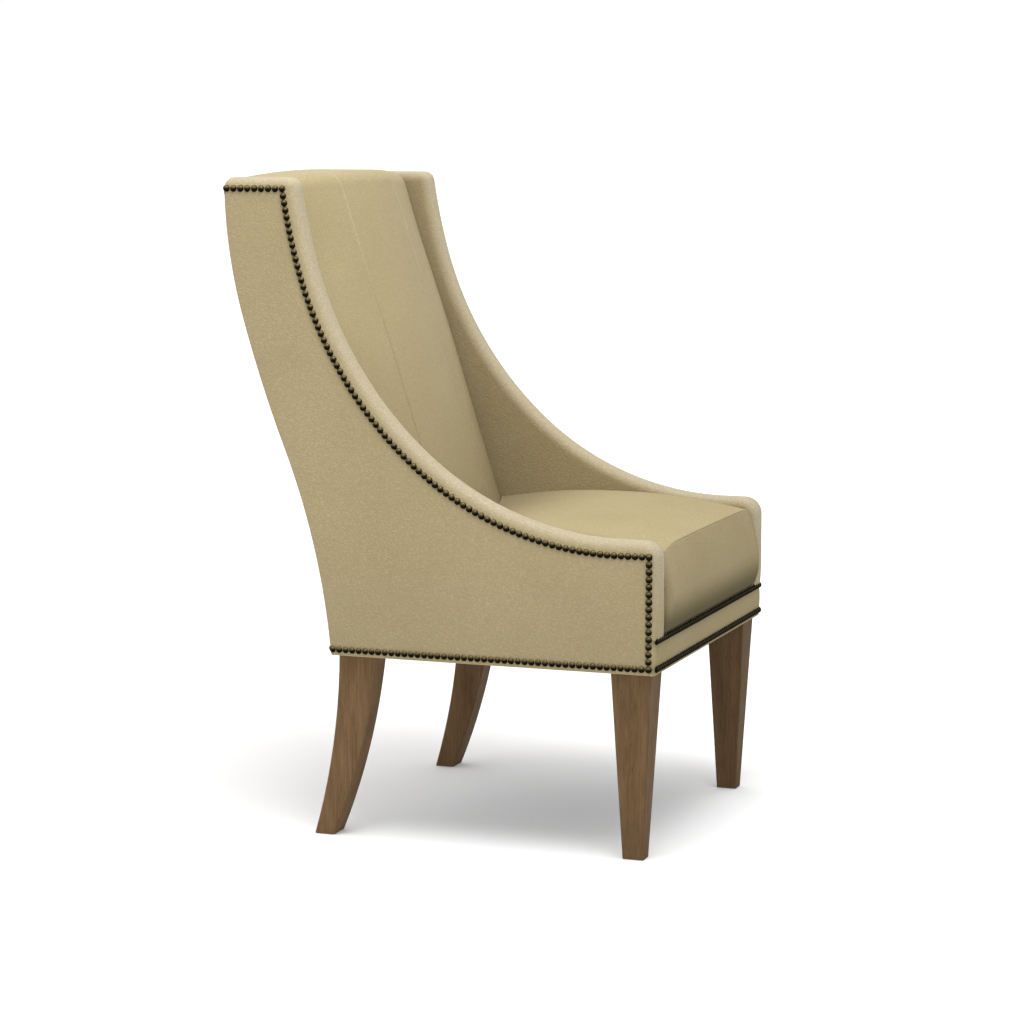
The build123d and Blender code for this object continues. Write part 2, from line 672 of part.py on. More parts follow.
def side_nail_seats():
    """Where the nails of the left side stand: front column, arm and scoop, bottom row, and wing top."""
    scoop = scoop_edges(NAIL_SCOOP_INSET, NAIL_TOP_ANGLE)
    foot = (NAIL_FRONT_INSET, NAIL_LOW)
    corner = (NAIL_FRONT_INSET, NAIL_ARM_LEVEL)
    column = Line(foot, corner)
    rise = Wire([Line(corner, scoop[0] @ 0), *scoop])
    bottom_row = Line(foot, (BACK_FOOT_POINT[0] - NAIL_REAR_INSET, NAIL_LOW))
    top_row = Line(scoop[-1] @ 1, (BACK_TOP_Y - NAIL_REAR_INSET, NAIL_TOP))
    points = evenly(column, NAIL_PITCH) + evenly(rise, NAIL_PITCH)[1:]
    points += evenly(bottom_row, NAIL_PITCH)[1:] + evenly(top_row, NAIL_TOP_PITCH)[1:]
    return [Plane((OUTER, point.X, point.Y), z_dir=(1, 0, 0)) for point in points]


def row_seats(half, y, z, outward):
    """Where the nails of a straight row across the chair stand."""
    row = Line((-half, y, z), (half, y, z))
    return [Plane(point, z_dir=outward) for point in evenly(row, NAIL_PITCH)]


def nails(seats):
    """Nails on their seats."""
    one = nail()
    return [seat * one for seat in seats]


def nail_holes(seats):
    """The holes that the nails' shanks need."""
    radius = NAIL_SHANK_RADIUS + HOLE_CLEARANCE
    depth = NAIL_SHANK + HOLE_CLEARANCE
    return [extrude(seat * Circle(radius), amount=-depth) for seat in seats]


# Fasteners
def screw(seat, direction, length):
    """A screw whose head stands on a point, with its shank along a direction."""
    back = Vector(direction) * -SCREW_HEAD
    return pin(seat, direction, SCREW_RADIUS, length) + pin(Vector(seat) + back, direction, SCREW_HEAD_RADIUS, SCREW_HEAD)


def screw_hole(seat, direction, length, sink):
    """The hole of a screw, sunk so far behind its head."""
    back = Vector(direction) * -sink
    shank = pin(seat, direction, SCREW_RADIUS + HOLE_CLEARANCE, length + HOLE_CLEARANCE)
    return shank + pin(Vector(seat) + back, direction, SCREW_HEAD_RADIUS + HOLE_CLEARANCE, sink)


def block_screw_seats():
    """Heads and directions of the left corner blocks' screws, one into each rail."""
    level = RAIL_BOTTOM + BLOCK_HEIGHT / 2
    seats = []
    for corner_y, towards in ((RAIL_REAR, 1), (POST_FRONT, -1)):
        along_x = (RAIL_INNER - BLOCK_SCREW_COVER, corner_y + towards * BLOCK_SCREW_INSET, level)
        along_y = (RAIL_INNER - BLOCK_SCREW_INSET, corner_y + towards * BLOCK_SCREW_COVER, level)
        seats += [(along_x, (1, 0, 0)), (along_y, (0, -towards, 0))]
    return seats


def panel_screw_seats():
    """Heads of the left side panel's screws, into the side rail and into the post."""
    x = PLY_OUTER - SCREW_HEAD
    level = (RAIL_BOTTOM + SIDE_RAIL_TOP) / 2
    seats = [(x, y, level) for y in (RAIL_REAR + PANEL_SCREW_REACH, POST_FRONT - PANEL_SCREW_REACH)]
    for k in range(PANEL_POST_SCREWS):
        z = RAIL_TOP + PANEL_SCREW_STEP * (k + 1)
        seats.append((x, post_front(z) + RAIL_THICKNESS / 2, z))
    return seats


def dowel_seats():
    """Middles and directions of the left side's dowels: seat rails first, then the back's rails."""
    rail_x = (RAIL_INNER + PLY_INNER) / 2
    rail_y = POST_FRONT + RAIL_THICKNESS / 2
    seat = []
    for z in (RAIL_BOTTOM + DOWEL_EDGE, RAIL_TOP - DOWEL_EDGE):
        seat += [((rail_x, y, z), (0, 1, 0)) for y in (RAIL_REAR, POST_FRONT)]
        seat.append(((POST_INNER, rail_y, z), (1, 0, 0)))
    back = []
    for bottom, top in ((POST_TOP - CREST_HEIGHT, POST_TOP), LUMBAR_SPAN):
        for z in (bottom + DOWEL_EDGE, top - DOWEL_EDGE):
            back.append(((POST_INNER, post_front(z) + RAIL_THICKNESS / 2, z), (1, 0, 0)))
    return seat, back


def dowel(seat, direction, clearance):
    """A dowel, or with a clearance its hole, centred on a joint."""
    half = DOWEL_LENGTH / 2 + clearance
    return pin(Vector(seat) - Vector(direction) * half, direction, DOWEL_RADIUS + clearance, 2 * half)


LUMBAR_SPAN = (RAIL_TOP + LUMBAR_RISE, RAIL_TOP + LUMBAR_RISE + LUMBAR_HEIGHT)
BOLT_X = RAIL_INNER - BOLT_REACH
BOLT_Y = RAIL_REAR + BOLT_REACH
BOLT_TOP = BLOCK_TOP + WASHER_THICKNESS + NUT_HEIGHT + BOLT_TIP


def bolt(radius):
    """The hanger bolt of the left front leg, or with more radius its hole."""
    start = RAIL_BOTTOM - BOLT_IN_LEG
    return pin((BOLT_X, BOLT_Y, start), (0, 0, 1), radius, BOLT_TOP - start)


def bolt_washer():
    """The washer on the left front corner block."""
    ring = Circle(WASHER_RADIUS) - Circle(BOLT_RADIUS + HOLE_CLEARANCE)
    return extrude(Pos(BOLT_X, BOLT_Y, BLOCK_TOP) * ring, amount=WASHER_THICKNESS)


def bolt_nut():
    """The nut on the washer."""
    ring = RegularPolygon(NUT_ACROSS / 2, 6, major_radius=False) - Circle(BOLT_RADIUS + HOLE_CLEARANCE)
    return extrude(Pos(BOLT_X, BOLT_Y, BLOCK_TOP + WASHER_THICKNESS) * ring, amount=NUT_HEIGHT)


def glide(x, y, clearance):
    """A round glide let into a foot, or with a clearance its bore."""
    return pin((x, y, 0), (0, 0, 1), GLIDE_RADIUS + clearance, GLIDE_THICKNESS + clearance)


def build():
    """Make every piece, by name."""
    side_seats = side_nail_seats()
    band_half = OUTER - BAND_CORNER
    high_seats = row_seats(band_half, 0, NAIL_HIGH, (0, -1, 0))
    low_seats = row_seats(band_half, 0, NAIL_LOW, (0, -1, 0))
    top_normal = polar((0, 0), 1, back_high_angle(0, NAIL_TOP))
    foot_normal = polar((0, 0), -1, back_low_angle(0, NAIL_LOW))
    rear_half = OUTER - NAIL_SHANK - 2 * NAIL_SHANK_RADIUS
    top_seats = row_seats(rear_half, BACK_TOP_Y, NAIL_TOP, (0, *top_normal))
    foot_seats = row_seats(rear_half, BACK_FOOT_POINT[0], NAIL_LOW, (0, *foot_normal))
    side_holes = nail_holes(side_seats)
    front_holes = nail_holes(high_seats + low_seats)
    rear_holes = nail_holes(top_seats + foot_seats)

    block_screws = block_screw_seats()
    panel_screws = panel_screw_seats()
    block_length = BLOCK_SCREW_COVER + SCREW_GRIP
    panel_length = PLY - SCREW_HEAD + SCREW_GRIP
    block_holes = [screw_hole(seat, way, block_length, BLOCK_SIDE) for seat, way in block_screws]
    rail_holes = [screw_hole(seat, way, block_length, SCREW_HEAD) for seat, way in block_screws]
    panel_holes = [screw_hole(seat, (-1, 0, 0), panel_length, SCREW_HEAD) for seat in panel_screws]
    seat_dowels, back_dowels = dowel_seats()
    dowel_holes = [dowel(seat, way, HOLE_CLEARANCE) for seat, way in seat_dowels + back_dowels]
    bolt_hole = bolt(BOLT_RADIUS + HOLE_CLEARANCE)

    left = {}
    left["side_panel"] = side_panel() - (side_holes + panel_holes + front_holes + rear_holes)
    left["arm_pad"] = arm_pad()
    left["arm_cover"] = arm_cover() - (side_holes + rear_holes)
    left["outside_panel"] = outside_panel() - side_holes
    left["front_leg"] = front_leg() - bolt_hole - glide(FRONT_LEG_X, FRONT_LEG_Y, HOLE_CLEARANCE)
    rear_bore = glide(REAR_LEG_X, REAR_FOOT_Y, HOLE_CLEARANCE)
    left["rear_leg"] = rear_leg() - (panel_holes + dowel_holes + rear_holes + [rear_bore])
    side_rail = block(RAIL_INNER, PLY_INNER, RAIL_REAR, POST_FRONT, RAIL_BOTTOM, SIDE_RAIL_TOP)
    left["seat_rail"] = side_rail - (rail_holes + panel_holes + dowel_holes)
    left["front_corner_block"] = corner_block(RAIL_REAR, 1) - (block_holes[:2] + [bolt_hole])
    left["rear_corner_block"] = corner_block(POST_FRONT, -1) - block_holes[2:]
    left["front_glide"] = glide(FRONT_LEG_X, FRONT_LEG_Y, 0)
    left["rear_glide"] = glide(REAR_LEG_X, REAR_FOOT_Y, 0)

    middle_holes = both_sides(rail_holes + dowel_holes)
    front_rail = block(-PLY_INNER, PLY_INNER, LEATHER, RAIL_REAR, RAIL_BOTTOM, RAIL_TOP)
    rear_rail = block(-POST_INNER, POST_INNER, POST_FRONT, POST_FRONT + RAIL_THICKNESS, RAIL_BOTTOM, RAIL_TOP)
    pieces = {
        "front_seat_rail": front_rail - (middle_holes + front_holes),
        "back_seat_rail": rear_rail - middle_holes,
        "crest_rail": back_rail(POST_TOP - CREST_HEIGHT, POST_TOP) - (middle_holes + rear_holes),
        "lumbar_rail": back_rail(*LUMBAR_SPAN) - middle_holes,
        "outside_back_board": back_layer(LEATHER, POST_INSET, RAIL_BOTTOM, POST_TOP, PLY_INNER) - rear_holes,
        "corner_block_screws": group(both_sides([screw(seat, way, block_length) for seat, way in block_screws])),
        "side_panel_screws": group(both_sides([screw(seat, (-1, 0, 0), panel_length) for seat in panel_screws])),
        "seat_rail_dowels": group(both_sides([dowel(seat, way, 0) for seat, way in seat_dowels])),
        "back_rail_dowels": group(both_sides([dowel(seat, way, 0) for seat, way in back_dowels])),
        "front_leg_bolts": group(both_sides([bolt(BOLT_RADIUS)])),
        "front_leg_washers": group(both_sides([bolt_washer()])),
        "front_leg_nuts": group(both_sides([bolt_nut()])),
        "lengthwise_seat_straps": group(lengthwise_straps()),
        "cross_seat_straps": group(cross_straps()),
        "back_straps": group(back_straps()),
        "seat_foam": seat_foam(),
        "back_foam": back_foam(),
        "seat_cover": seat_cover(),
        "inside_back_cover": inside_back_cover() - rear_holes,
        "outside_back_cover": outside_back_cover() - rear_holes,
        "front_band": front_band() - (front_holes + both_sides(side_holes)),
        "dust_cover": dust_cover(),
        "left_side_nails": group(nails(side_seats)),
        "right_side_nails": group([mirrored(group(nails(side_seats)))]),
        "front_upper_nails": group(nails(high_seats)),
        "front_lower_nails": group(nails(low_seats)),
        "back_top_nails": group(nails(top_seats)),
        "back_bottom_nails": group(nails(foot_seats)),
    }
    for name, shape in left.items():
        pieces["left_" + name] = shape
        pieces["right_" + name] = mirrored(shape)
    return pieces


os.makedirs("parts", exist_ok=True)
for piece_name, piece in build().items():
    export_step(Pos(0, -CENTRE_Y, 0) * piece, f"parts/{piece_name}.step")
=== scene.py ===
"""Looks of a leather dining chair with scooped sides, a high padded back and dome nails.

Every surface is worked out in millimetres, in a side view that counts depth back from the face of
the front band, and is placed in the part's frame in metres: +Z up, the chair faces -Y, left is +X.
"""

import json
import logging
import math
from dataclasses import dataclass, field
from enum import Enum
from typing import Any, Sequence

import bmesh
import bpy
import numpy as np
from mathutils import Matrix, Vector

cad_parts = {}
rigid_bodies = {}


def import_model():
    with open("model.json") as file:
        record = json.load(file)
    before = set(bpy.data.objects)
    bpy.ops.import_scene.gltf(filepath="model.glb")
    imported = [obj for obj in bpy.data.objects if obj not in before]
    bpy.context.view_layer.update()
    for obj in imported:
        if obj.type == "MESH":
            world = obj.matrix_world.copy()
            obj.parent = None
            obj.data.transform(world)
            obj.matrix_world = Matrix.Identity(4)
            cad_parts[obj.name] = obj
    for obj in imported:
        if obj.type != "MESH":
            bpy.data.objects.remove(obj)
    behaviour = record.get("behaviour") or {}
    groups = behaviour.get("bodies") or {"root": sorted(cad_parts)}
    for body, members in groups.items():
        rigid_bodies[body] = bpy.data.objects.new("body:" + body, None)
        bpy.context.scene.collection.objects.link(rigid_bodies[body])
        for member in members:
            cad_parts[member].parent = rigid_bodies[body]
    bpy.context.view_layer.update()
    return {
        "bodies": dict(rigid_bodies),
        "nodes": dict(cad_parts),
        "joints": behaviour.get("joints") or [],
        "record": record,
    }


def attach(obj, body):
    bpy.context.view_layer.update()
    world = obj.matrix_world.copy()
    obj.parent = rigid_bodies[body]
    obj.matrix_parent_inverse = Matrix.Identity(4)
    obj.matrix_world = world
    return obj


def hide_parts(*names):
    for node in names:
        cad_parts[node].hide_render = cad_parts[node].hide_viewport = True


LOG = logging.getLogger("leather_chair")
MM = 0.001
BODY = "root"
NAIL_SHADE = 0.5
NAIL_SHADE_REACH = 6.0
Array = np.ndarray
Colour = tuple[float, float, float]
Span = tuple[float, float]


class Hand(Enum):
    """A side of the chair, as the sitter has it, with the sign of its X."""

    LEFT = 1
    RIGHT = -1

    @property
    def prefix(self) -> str:
        """The start of the side's node names."""
        return self.name.lower() + "_"


# Side-view geometry
def polar(centre: Sequence[float], radius: float, angle: float) -> tuple[float, float]:
    """The point at an angle, in degrees, on a circle."""
    turn = math.radians(angle)
    return centre[0] + radius * math.cos(turn), centre[1] + radius * math.sin(turn)


def arc(centre: Sequence[float], radius: float, first: float, last: float, step: float = 0.25) -> Array:
    """Points on a circle from one angle to another, in degrees.

    Args:
        centre: Depth and height of the circle's centre.
        radius: Its radius.
        first: The angle at the start.
        last: The angle at the end.
        step: The largest angle between two points.

    Returns:
        The points, one per row.
    """
    count = max(4, int(abs(last - first) / step) + 2)
    turn = np.radians(np.linspace(first, last, count))
    return np.stack([centre[0] + radius * np.cos(turn), centre[1] + radius * np.sin(turn)], axis=1)


def smooth(value: Array) -> Array:
    """An even step from 0 to 1: three squares less two cubes of the value, held between 0 and 1."""
    held = np.clip(value, 0.0, 1.0)
    return held * held * (3.0 - 2.0 * held)


def step(value: Array, span: Span) -> Array:
    """An even step from 0 at a span's start to 1 at its end."""
    start, end = span
    return smooth((value - start) / (end - start))


def bell(distance: Array, width: float) -> Array:
    """A bell of 1 at no distance: the exponential of minus the square of the distance over a width."""
    return np.exp(-((distance / width) ** 2))


def drawn_in(gap: Array, radius: float) -> Array:
    """How far a quarter circle draws a surface in, at a gap from its outer end."""
    near = np.clip((radius - gap) / radius, 0, 1)
    return radius * (1 - np.sqrt(1 - near**2))


def toned(colour: Colour, share: float) -> Colour:
    """A colour made darker or lighter by a share."""
    return tuple(share * part for part in colour)


@dataclass(frozen=True)
class Run:
    """A line of points in side view, read by the share of its length."""

    points: Array

    @staticmethod
    def through(*pieces: Any) -> "Run":
        """One line through several points or runs of points, with doubles left out.

        Args:
            pieces: Points, or arrays of points, in order.

        Returns:
            The line.
        """
        rows = np.concatenate([np.atleast_2d(np.asarray(piece, float)) for piece in pieces])
        keep = np.concatenate([[True], np.linalg.norm(np.diff(rows, axis=0), axis=1) > 1e-6])
        return Run(rows[keep])

    @property
    def marks(self) -> Array:
        """The length from the start to each point."""
        return np.concatenate([[0.0], np.cumsum(np.linalg.norm(np.diff(self.points, axis=0), axis=1))])

    @property
    def length(self) -> float:
        """The whole length."""
        return float(self.marks[-1])

    def at(self, shares: Array) -> Array:
        """The points at shares of the length, between 0 and 1."""
        where = np.asarray(shares) * self.length
        return np.stack([np.interp(where, self.marks, self.points[:, k]) for k in range(2)], axis=-1)

    def inward(self, shares: Array) -> Array:
        """Unit normals to the right of the run: the tangent turned by a quarter.

        Args:
            shares: Places along the run.

        Returns:
            One normal per place.
        """
        reach = 1.0 / self.length
        ahead = self.at(np.clip(np.asarray(shares) + reach, 0, 1))
        behind = self.at(np.clip(np.asarray(shares) - reach, 0, 1))
        way = ahead - behind
        way /= np.linalg.norm(way, axis=-1, keepdims=True)
        return np.stack([way[..., 1], -way[..., 0]], axis=-1)

    def distance(self, places: Array) -> Array:
        """How far places lie from the run, measured to points every three millimetres."""
        line = self.at(np.linspace(0, 1, int(self.length / 3)))
        return np.sqrt(((places[:, None, :] - line[None, :, :]) ** 2).sum(axis=-1).min(axis=1))

    def evenly(self, pitch: float) -> Array:
        """Points with both ends, as near to a pitch as fits."""
        count = round(self.length / pitch)
        return self.at(np.arange(count + 1) / count)


@dataclass(frozen=True)
class ChairForm:
    """The chair's own lines, shared by every piece, in millimetres."""

    outer: float = 299.3
    arm_inner: float = 257.3
    cushion_half: float = 257.0
    ply_inner: float = 282.8
    body_depth: float = 531.8
    body_bottom: float = 292.0
    depth_shift: float = 348.693
    arm_front: float = -5.0
    arm_top: float = 495.5
    arm_corner: float = 28.0
    arm_level: float = 57.6
    arm_taper: float = 66.0
    arm_tuck: float = 0.3
    scoop_radii: tuple[float, float, float] = (489.0, 594.0, 935.0)
    scoop_turns: tuple[float, float] = (41.8, 32.7)
    wing_top: float = 1035.0
    wing_corner: float = 16.0
    back_lean_foot: float = 4.9
    back_radii: tuple[float, float, float] = (1134.0, 2068.0, 776.0)
    back_turns: tuple[float, float] = (16.8, 6.0)
    cover_bottom: float = 350.8
    arm_bottom: float = 346.5
    band_top: float = 350.5
    nail_low: float = 302.3
    nail_high: float = 345.0
    nail_top: float = 1018.0
    nail_front: float = 10.0
    nail_inset: float = 22.0
    post_front: float = 460.0
    post_top: float = 1023.0
    rail_top: float = 354.0
    lean: float = 0.31717
    back_pad: float = 49.2
    back_crown: float = 48.0

    def place(self, x: Array, depth: Array, height: Array) -> Array:
        """Points of the part's frame, in metres, from millimetres across, back and up."""
        x, depth, height = np.broadcast_arrays(x, depth, height)
        return np.stack([x, depth - self.depth_shift, height], axis=-1) * MM

    @property
    def scoop_centres(self) -> tuple[tuple[float, float], ...]:
        """Centres of the scoop's three arcs, each in line with the last one where they join.

        Returns:
            Depth and height of each, from the arm upwards.
        """
        low_r, mid_r, high_r = self.scoop_radii
        low_end = self.scoop_turns[0] - 90
        low = (self.arm_level, self.arm_top + low_r)
        mid = polar(low, low_r - mid_r, low_end)
        high = polar(mid, mid_r - high_r, low_end + self.scoop_turns[1])
        return low, mid, high

    def scoop(self, inset: float, top: float) -> Array:
        """The scoop's arcs, a distance inside its edge, up to a height on the last one.

        Args:
            inset: The distance.
            top: The height.

        Returns:
            Points from the arm upwards.
        """
        low, mid, high = self.scoop_centres
        low_r, mid_r, high_r = (radius + inset for radius in self.scoop_radii)
        low_end = self.scoop_turns[0] - 90
        mid_end = low_end + self.scoop_turns[1]
        last = math.degrees(math.asin((top - high[1]) / high_r))
        arcs = [
            arc(low, low_r, -90, low_end),
            arc(mid, mid_r, low_end, mid_end),
            arc(high, high_r, mid_end, last),
        ]
        return np.concatenate(arcs)

    @property
    def wing_centre(self) -> tuple[float, float]:
        """Centre of the wing's rounded upper corner, which touches the scoop's last arc from outside.

        Returns:
            Its depth and its height.
        """
        high = self.scoop_centres[2]
        level = self.wing_top - self.wing_corner
        reach = self.scoop_radii[2] + self.wing_corner
        return high[0] + math.sqrt(reach**2 - (level - high[1]) ** 2), level

    def back(self, inset: float, bottom: float, top: float) -> Array:
        """The outside back's three arcs, a distance inside its face, between two heights.

        Args:
            inset: The distance.
            bottom: The lower height, on the first arc.
            top: The upper height, on the last arc.

        Returns:
            Points from the bottom upwards.
        """
        low_r, mid_r, high_r = self.back_radii
        first = 180 - self.back_lean_foot
        last = first - self.back_turns[0]
        mid_first = last - 180
        mid_last = mid_first + self.back_turns[1]
        low = polar((self.body_depth, self.body_bottom), low_r, first - 180)
        mid = polar(polar(low, low_r, last), mid_r, last)
        high = polar(mid, mid_r - high_r, mid_last)
        start = 180 - math.degrees(math.asin((bottom - low[1]) / (low_r + inset)))
        end = math.degrees(math.asin((top - high[1]) / (high_r - inset)))
        arcs = [
            arc(low, low_r + inset, start, last),
            arc(mid, mid_r - inset, mid_first, mid_last),
            arc(high, high_r - inset, mid_last, end),
        ]
        return np.concatenate(arcs)

    def wing_outline(self) -> Run:
        """The edge of an arm and its wing: up the front, over the arm, along the scoop and over the wing.

        The front comes out by a quarter sine over its lowest part, from a share of its whole reach.

        Returns:
            The edge, from the arm's foot to the wing's rear end.
        """
        corner = (self.arm_front + self.arm_corner, self.arm_top - self.arm_corner)
        high = self.scoop_centres[2]
        wing = self.wing_centre
        turn = math.degrees(math.atan2(wing[1] - high[1], wing[0] - high[0]))
        meet = polar(high, self.scoop_radii[2], turn)
        rise = np.linspace(0, self.arm_taper, 12)
        front = self.arm_front * (self.arm_tuck + (1 - self.arm_tuck) * np.sin(rise / rise[-1] * np.pi / 2))
        return Run.through(
            np.stack([front, self.arm_bottom + rise], axis=1),
            arc(corner, self.arm_corner, 180, 90, 3),
            self.scoop(0, meet[1]),
            arc(wing, self.wing_corner, turn + 180, 90, 3),
            (self.back(0, self.body_bottom, self.wing_top)[-1][0], self.wing_top),
        )

    def nail_line(self, foot: float) -> Run:
        """The line of the side nails: up the front column, along the arm and up the scoop.

        Args:
            foot: The height that the column starts from.

        Returns:
            The line, from the column's foot to the wing's top.
        """
        level = self.arm_top - self.nail_inset
        return Run.through(
            (self.nail_front, foot), (self.nail_front, level), self.scoop(self.nail_inset, self.nail_top)
        )

    @property
    def back_top(self) -> tuple[float, float]:
        """The outside back's face at the upper nail row."""
        return tuple(self.back(0, self.body_bottom, self.nail_top)[-1])

    @property
    def back_foot(self) -> tuple[float, float]:
        """The outside back's face at the lower nail row."""
        return tuple(self.back(0, self.nail_low, self.nail_top)[0])

    def post_line(self, height: Array) -> Array:
        """Depth of the leaning line that the back posts' front edges follow."""
        return self.post_front + (np.asarray(height) - self.rail_top) * self.lean

    def share(self, x: Array) -> Array:
        """How much of a crown stands at a place across: one less the square of its share of the half."""
        return 1 - (np.asarray(x) / self.cushion_half) ** 2

    def back_face(self, height: Array, x: Array) -> Array:
        """Depth of the inside back's leather at a height and a place across."""
        return self.post_line(height) - self.back_pad - self.back_crown * self.share(x)


FORM = ChairForm()


# Meshes from arrays
def grid_quads(rows: int, cols: int, ring: bool) -> Array:
    """Corners of the quads of a grid.

    Args:
        rows: Points along the first parameter.
        cols: Points along the second.
        ring: Whether the second parameter closes on itself.

    Returns:
        Four point numbers per row.
    """
    number = np.arange(rows * cols).reshape(rows, cols)
    here = number if ring else number[:, :-1]
    after = np.roll(number, -1, axis=1) if ring else number[:, 1:]
    return np.stack([here[:-1], here[1:], after[1:], after[:-1]], axis=-1).reshape(-1, 4)


def add_mesh(name: str, points: Array, faces: list, merge: bool = True) -> bpy.types.Object:
    """A smooth mesh object at the origin.

    Args:
        name: The object's name.
        points: Points in metres, one per row.
        faces: Point numbers of each face.
        merge: Whether doubled points become one.

    Returns:
        The object, linked to the scene.
    """
    mesh = bpy.data.meshes.new(name)
    mesh.from_pydata(points.tolist(), [], faces)
    if merge:
        work = bmesh.new()
        work.from_mesh(mesh)
        bmesh.ops.remove_doubles(work, verts=work.verts, dist=2e-6)
        bmesh.ops.dissolve_degenerate(work, edges=work.edges, dist=1e-6)
        work.to_mesh(mesh)
        work.free()
    mesh.validate()
    mesh.shade_smooth()
    piece = bpy.data.objects.new(name, mesh)
    bpy.context.scene.collection.objects.link(piece)
    return piece


def volume_of(points: Array, quads: Array) -> float:
    """The volume in a closed mesh of quads: a sixth of the sum of the corners' triple products.

    Args:
        points: Points, one per row.
        quads: Four point numbers per row.

    Returns:
        The volume, below zero where the faces point inwards.
    """
    first, second, third, fourth = (points[quads[:, k]] for k in range(4))
    one = np.einsum("ij,ij->i", first, np.cross(second, third))
    two = np.einsum("ij,ij->i", first, np.cross(third, fourth))
    return float((one + two).sum() / 6)


def closed_form(name: str, sections: Array) -> bpy.types.Object:
    """A closed skin through rings of points, with a fan over each end, facing outwards.

    Args:
        name: The object's name.
        sections: Rings of points in metres: ring, place on the ring, coordinate.

    Returns:
        The object.
    """
    rows, cols, _ = sections.shape
    quads = grid_quads(rows, cols, True)
    flip = volume_of(sections.reshape(-1, 3), quads) < 0
    points = np.concatenate([sections.reshape(-1, 3), sections[[0, -1]].mean(axis=1)])
    ring = np.arange(cols)
    after = np.roll(ring, -1)
    last = (rows - 1) * cols
    start = np.stack([ring, after, np.full(cols, rows * cols)], axis=1)
    end = np.stack([last + after, last + ring, np.full(cols, rows * cols + 1)], axis=1)
    faces = [face[::-1] if flip else face for face in quads.tolist() + start.tolist() + end.tolist()]
    piece = add_mesh(name, points, faces)
    piece.data.set_sharp_from_angle(angle=math.radians(75))
    return piece


def sheet_form(name: str, grid: Array, outward: Sequence[float], thickness: float) -> bpy.types.Object:
    """An open skin of leather, thickened inwards.

    Args:
        name: The object's name.
        grid: Points in metres: row, column, coordinate.
        outward: The way that its middle faces.
        thickness: The leather's thickness in millimetres.

    Returns:
        The object.
    """
    rows, cols, _ = grid.shape
    quads = grid_quads(rows, cols, False)
    points = grid.reshape(-1, 3)
    first, second, third = (points[quads[:, k]] for k in (0, 1, 2))
    facing = np.cross(second - first, third - first).sum(axis=0) @ np.asarray(outward, float)
    faces = quads[:, ::-1] if facing < 0 else quads
    piece = add_mesh(name, points, faces.tolist())
    wall = piece.modifiers.new("leather_thickness", "SOLIDIFY")
    wall.thickness = thickness * MM
    wall.offset = -1.0
    return piece


class Wear(Enum):
    """Shares of painted shade and painted highlight that a piece's points carry for its finish."""

    # Painted shade: darkens the colour where shade would fall.
    CREASE = "crease"
    # Painted highlight: lightens the colour where light would catch.
    PALE = "pale"

    def store(self, piece: bpy.types.Object, share: Array) -> None:
        """Stores how much painted shade or painted highlight each point carries.

        Args:
            piece: The piece.
            share: One value per point, from 0 to 1.
        """
        layer = piece.data.attributes.new(self.value, "FLOAT", "POINT")
        layer.data.foreach_set("value", share.astype(np.float32))


def read(points: Any, key: str = "co") -> Array:
    """Three values of each of a mesh's points.

    Args:
        points: The mesh's vertices or normals.
        key: The name of the values.

    Returns:
        The values, one point per row.
    """
    values = np.empty(len(points) * 3)
    points.foreach_get(key, values)
    return values.reshape(-1, 3)


def move(piece: bpy.types.Object, places: Array) -> None:
    """Puts a piece's points in new places, in metres."""
    piece.data.vertices.foreach_set("co", places.ravel())
    piece.data.update()


def spots_of(piece: bpy.types.Object) -> Array:
    """A piece's points in millimetres across, back and up."""
    return read(piece.data.vertices) / MM + (0.0, FORM.depth_shift, 0.0)


def nail_shade(spots: Array) -> Array:
    """How far points of an outer face lie in the shade of the side nails: a bell round their rows.

    Args:
        spots: Points in millimetres across, back and up.

    Returns:
        One share per point.
    """
    line = FORM.nail_line(FORM.nail_low)
    rows = Run.through((FORM.back_foot[0], FORM.nail_low), line.points, FORM.back_top)
    shade = NAIL_SHADE * bell(rows.distance(spots[:, 1:]), NAIL_SHADE_REACH)
    return np.where(np.abs(spots[:, 0]) > FORM.outer - NAIL_SHADE_REACH, shade, 0.0)


def dressed(piece: bpy.types.Object, finish: "Finish", *nodes: str) -> bpy.types.Object:
    """Gives a piece its finish, lets it stand for CAD nodes and ride on the chair.

    Args:
        piece: The piece.
        finish: Its finish, whose slot the piece takes.
        nodes: The nodes it stands for.

    Returns:
        The piece.
    """
    piece.data.materials.clear()
    piece.data.materials.append(finish.material())
    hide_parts(*nodes)
    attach(piece, BODY)
    LOG.info("%s: %d faces for %s", piece.name, len(piece.data.polygons), ", ".join(nodes))
    return piece


# Shader maths
class Wire:
    """A socket of a material, whose arithmetic adds Math nodes."""

    def __init__(self, recipe: "Recipe", socket: bpy.types.NodeSocket) -> None:
        """Keeps the recipe and its socket."""
        self.recipe = recipe
        self.socket = socket

    def math(self, operation: str, first: Any, second: Any = None) -> "Wire":
        """A Math node of two values or wires."""
        inputs = {0: first} if second is None else {0: first, 1: second}
        return self.recipe.node("ShaderNodeMath", {"operation": operation}, inputs).wire()

    def __add__(self, other: Any) -> "Wire":
        """Sum."""
        return self.math("ADD", self, other)

    __radd__ = __add__

    def __sub__(self, other: Any) -> "Wire":
        """Difference."""
        return self.math("SUBTRACT", self, other)

    def __rsub__(self, other: Any) -> "Wire":
        """Difference from a value."""
        return self.math("SUBTRACT", other, self)

    def __mul__(self, other: Any) -> "Wire":
        """Product."""
        return self.math("MULTIPLY", self, other)

    __rmul__ = __mul__

    def __truediv__(self, other: Any) -> "Wire":
        """Quotient."""
        return self.math("DIVIDE", self, other)

    def held(self) -> "Wire":
        """The value kept between 0 and 1."""
        return self.math("MINIMUM", self.math("MAXIMUM", self, 0.0), 1.0)


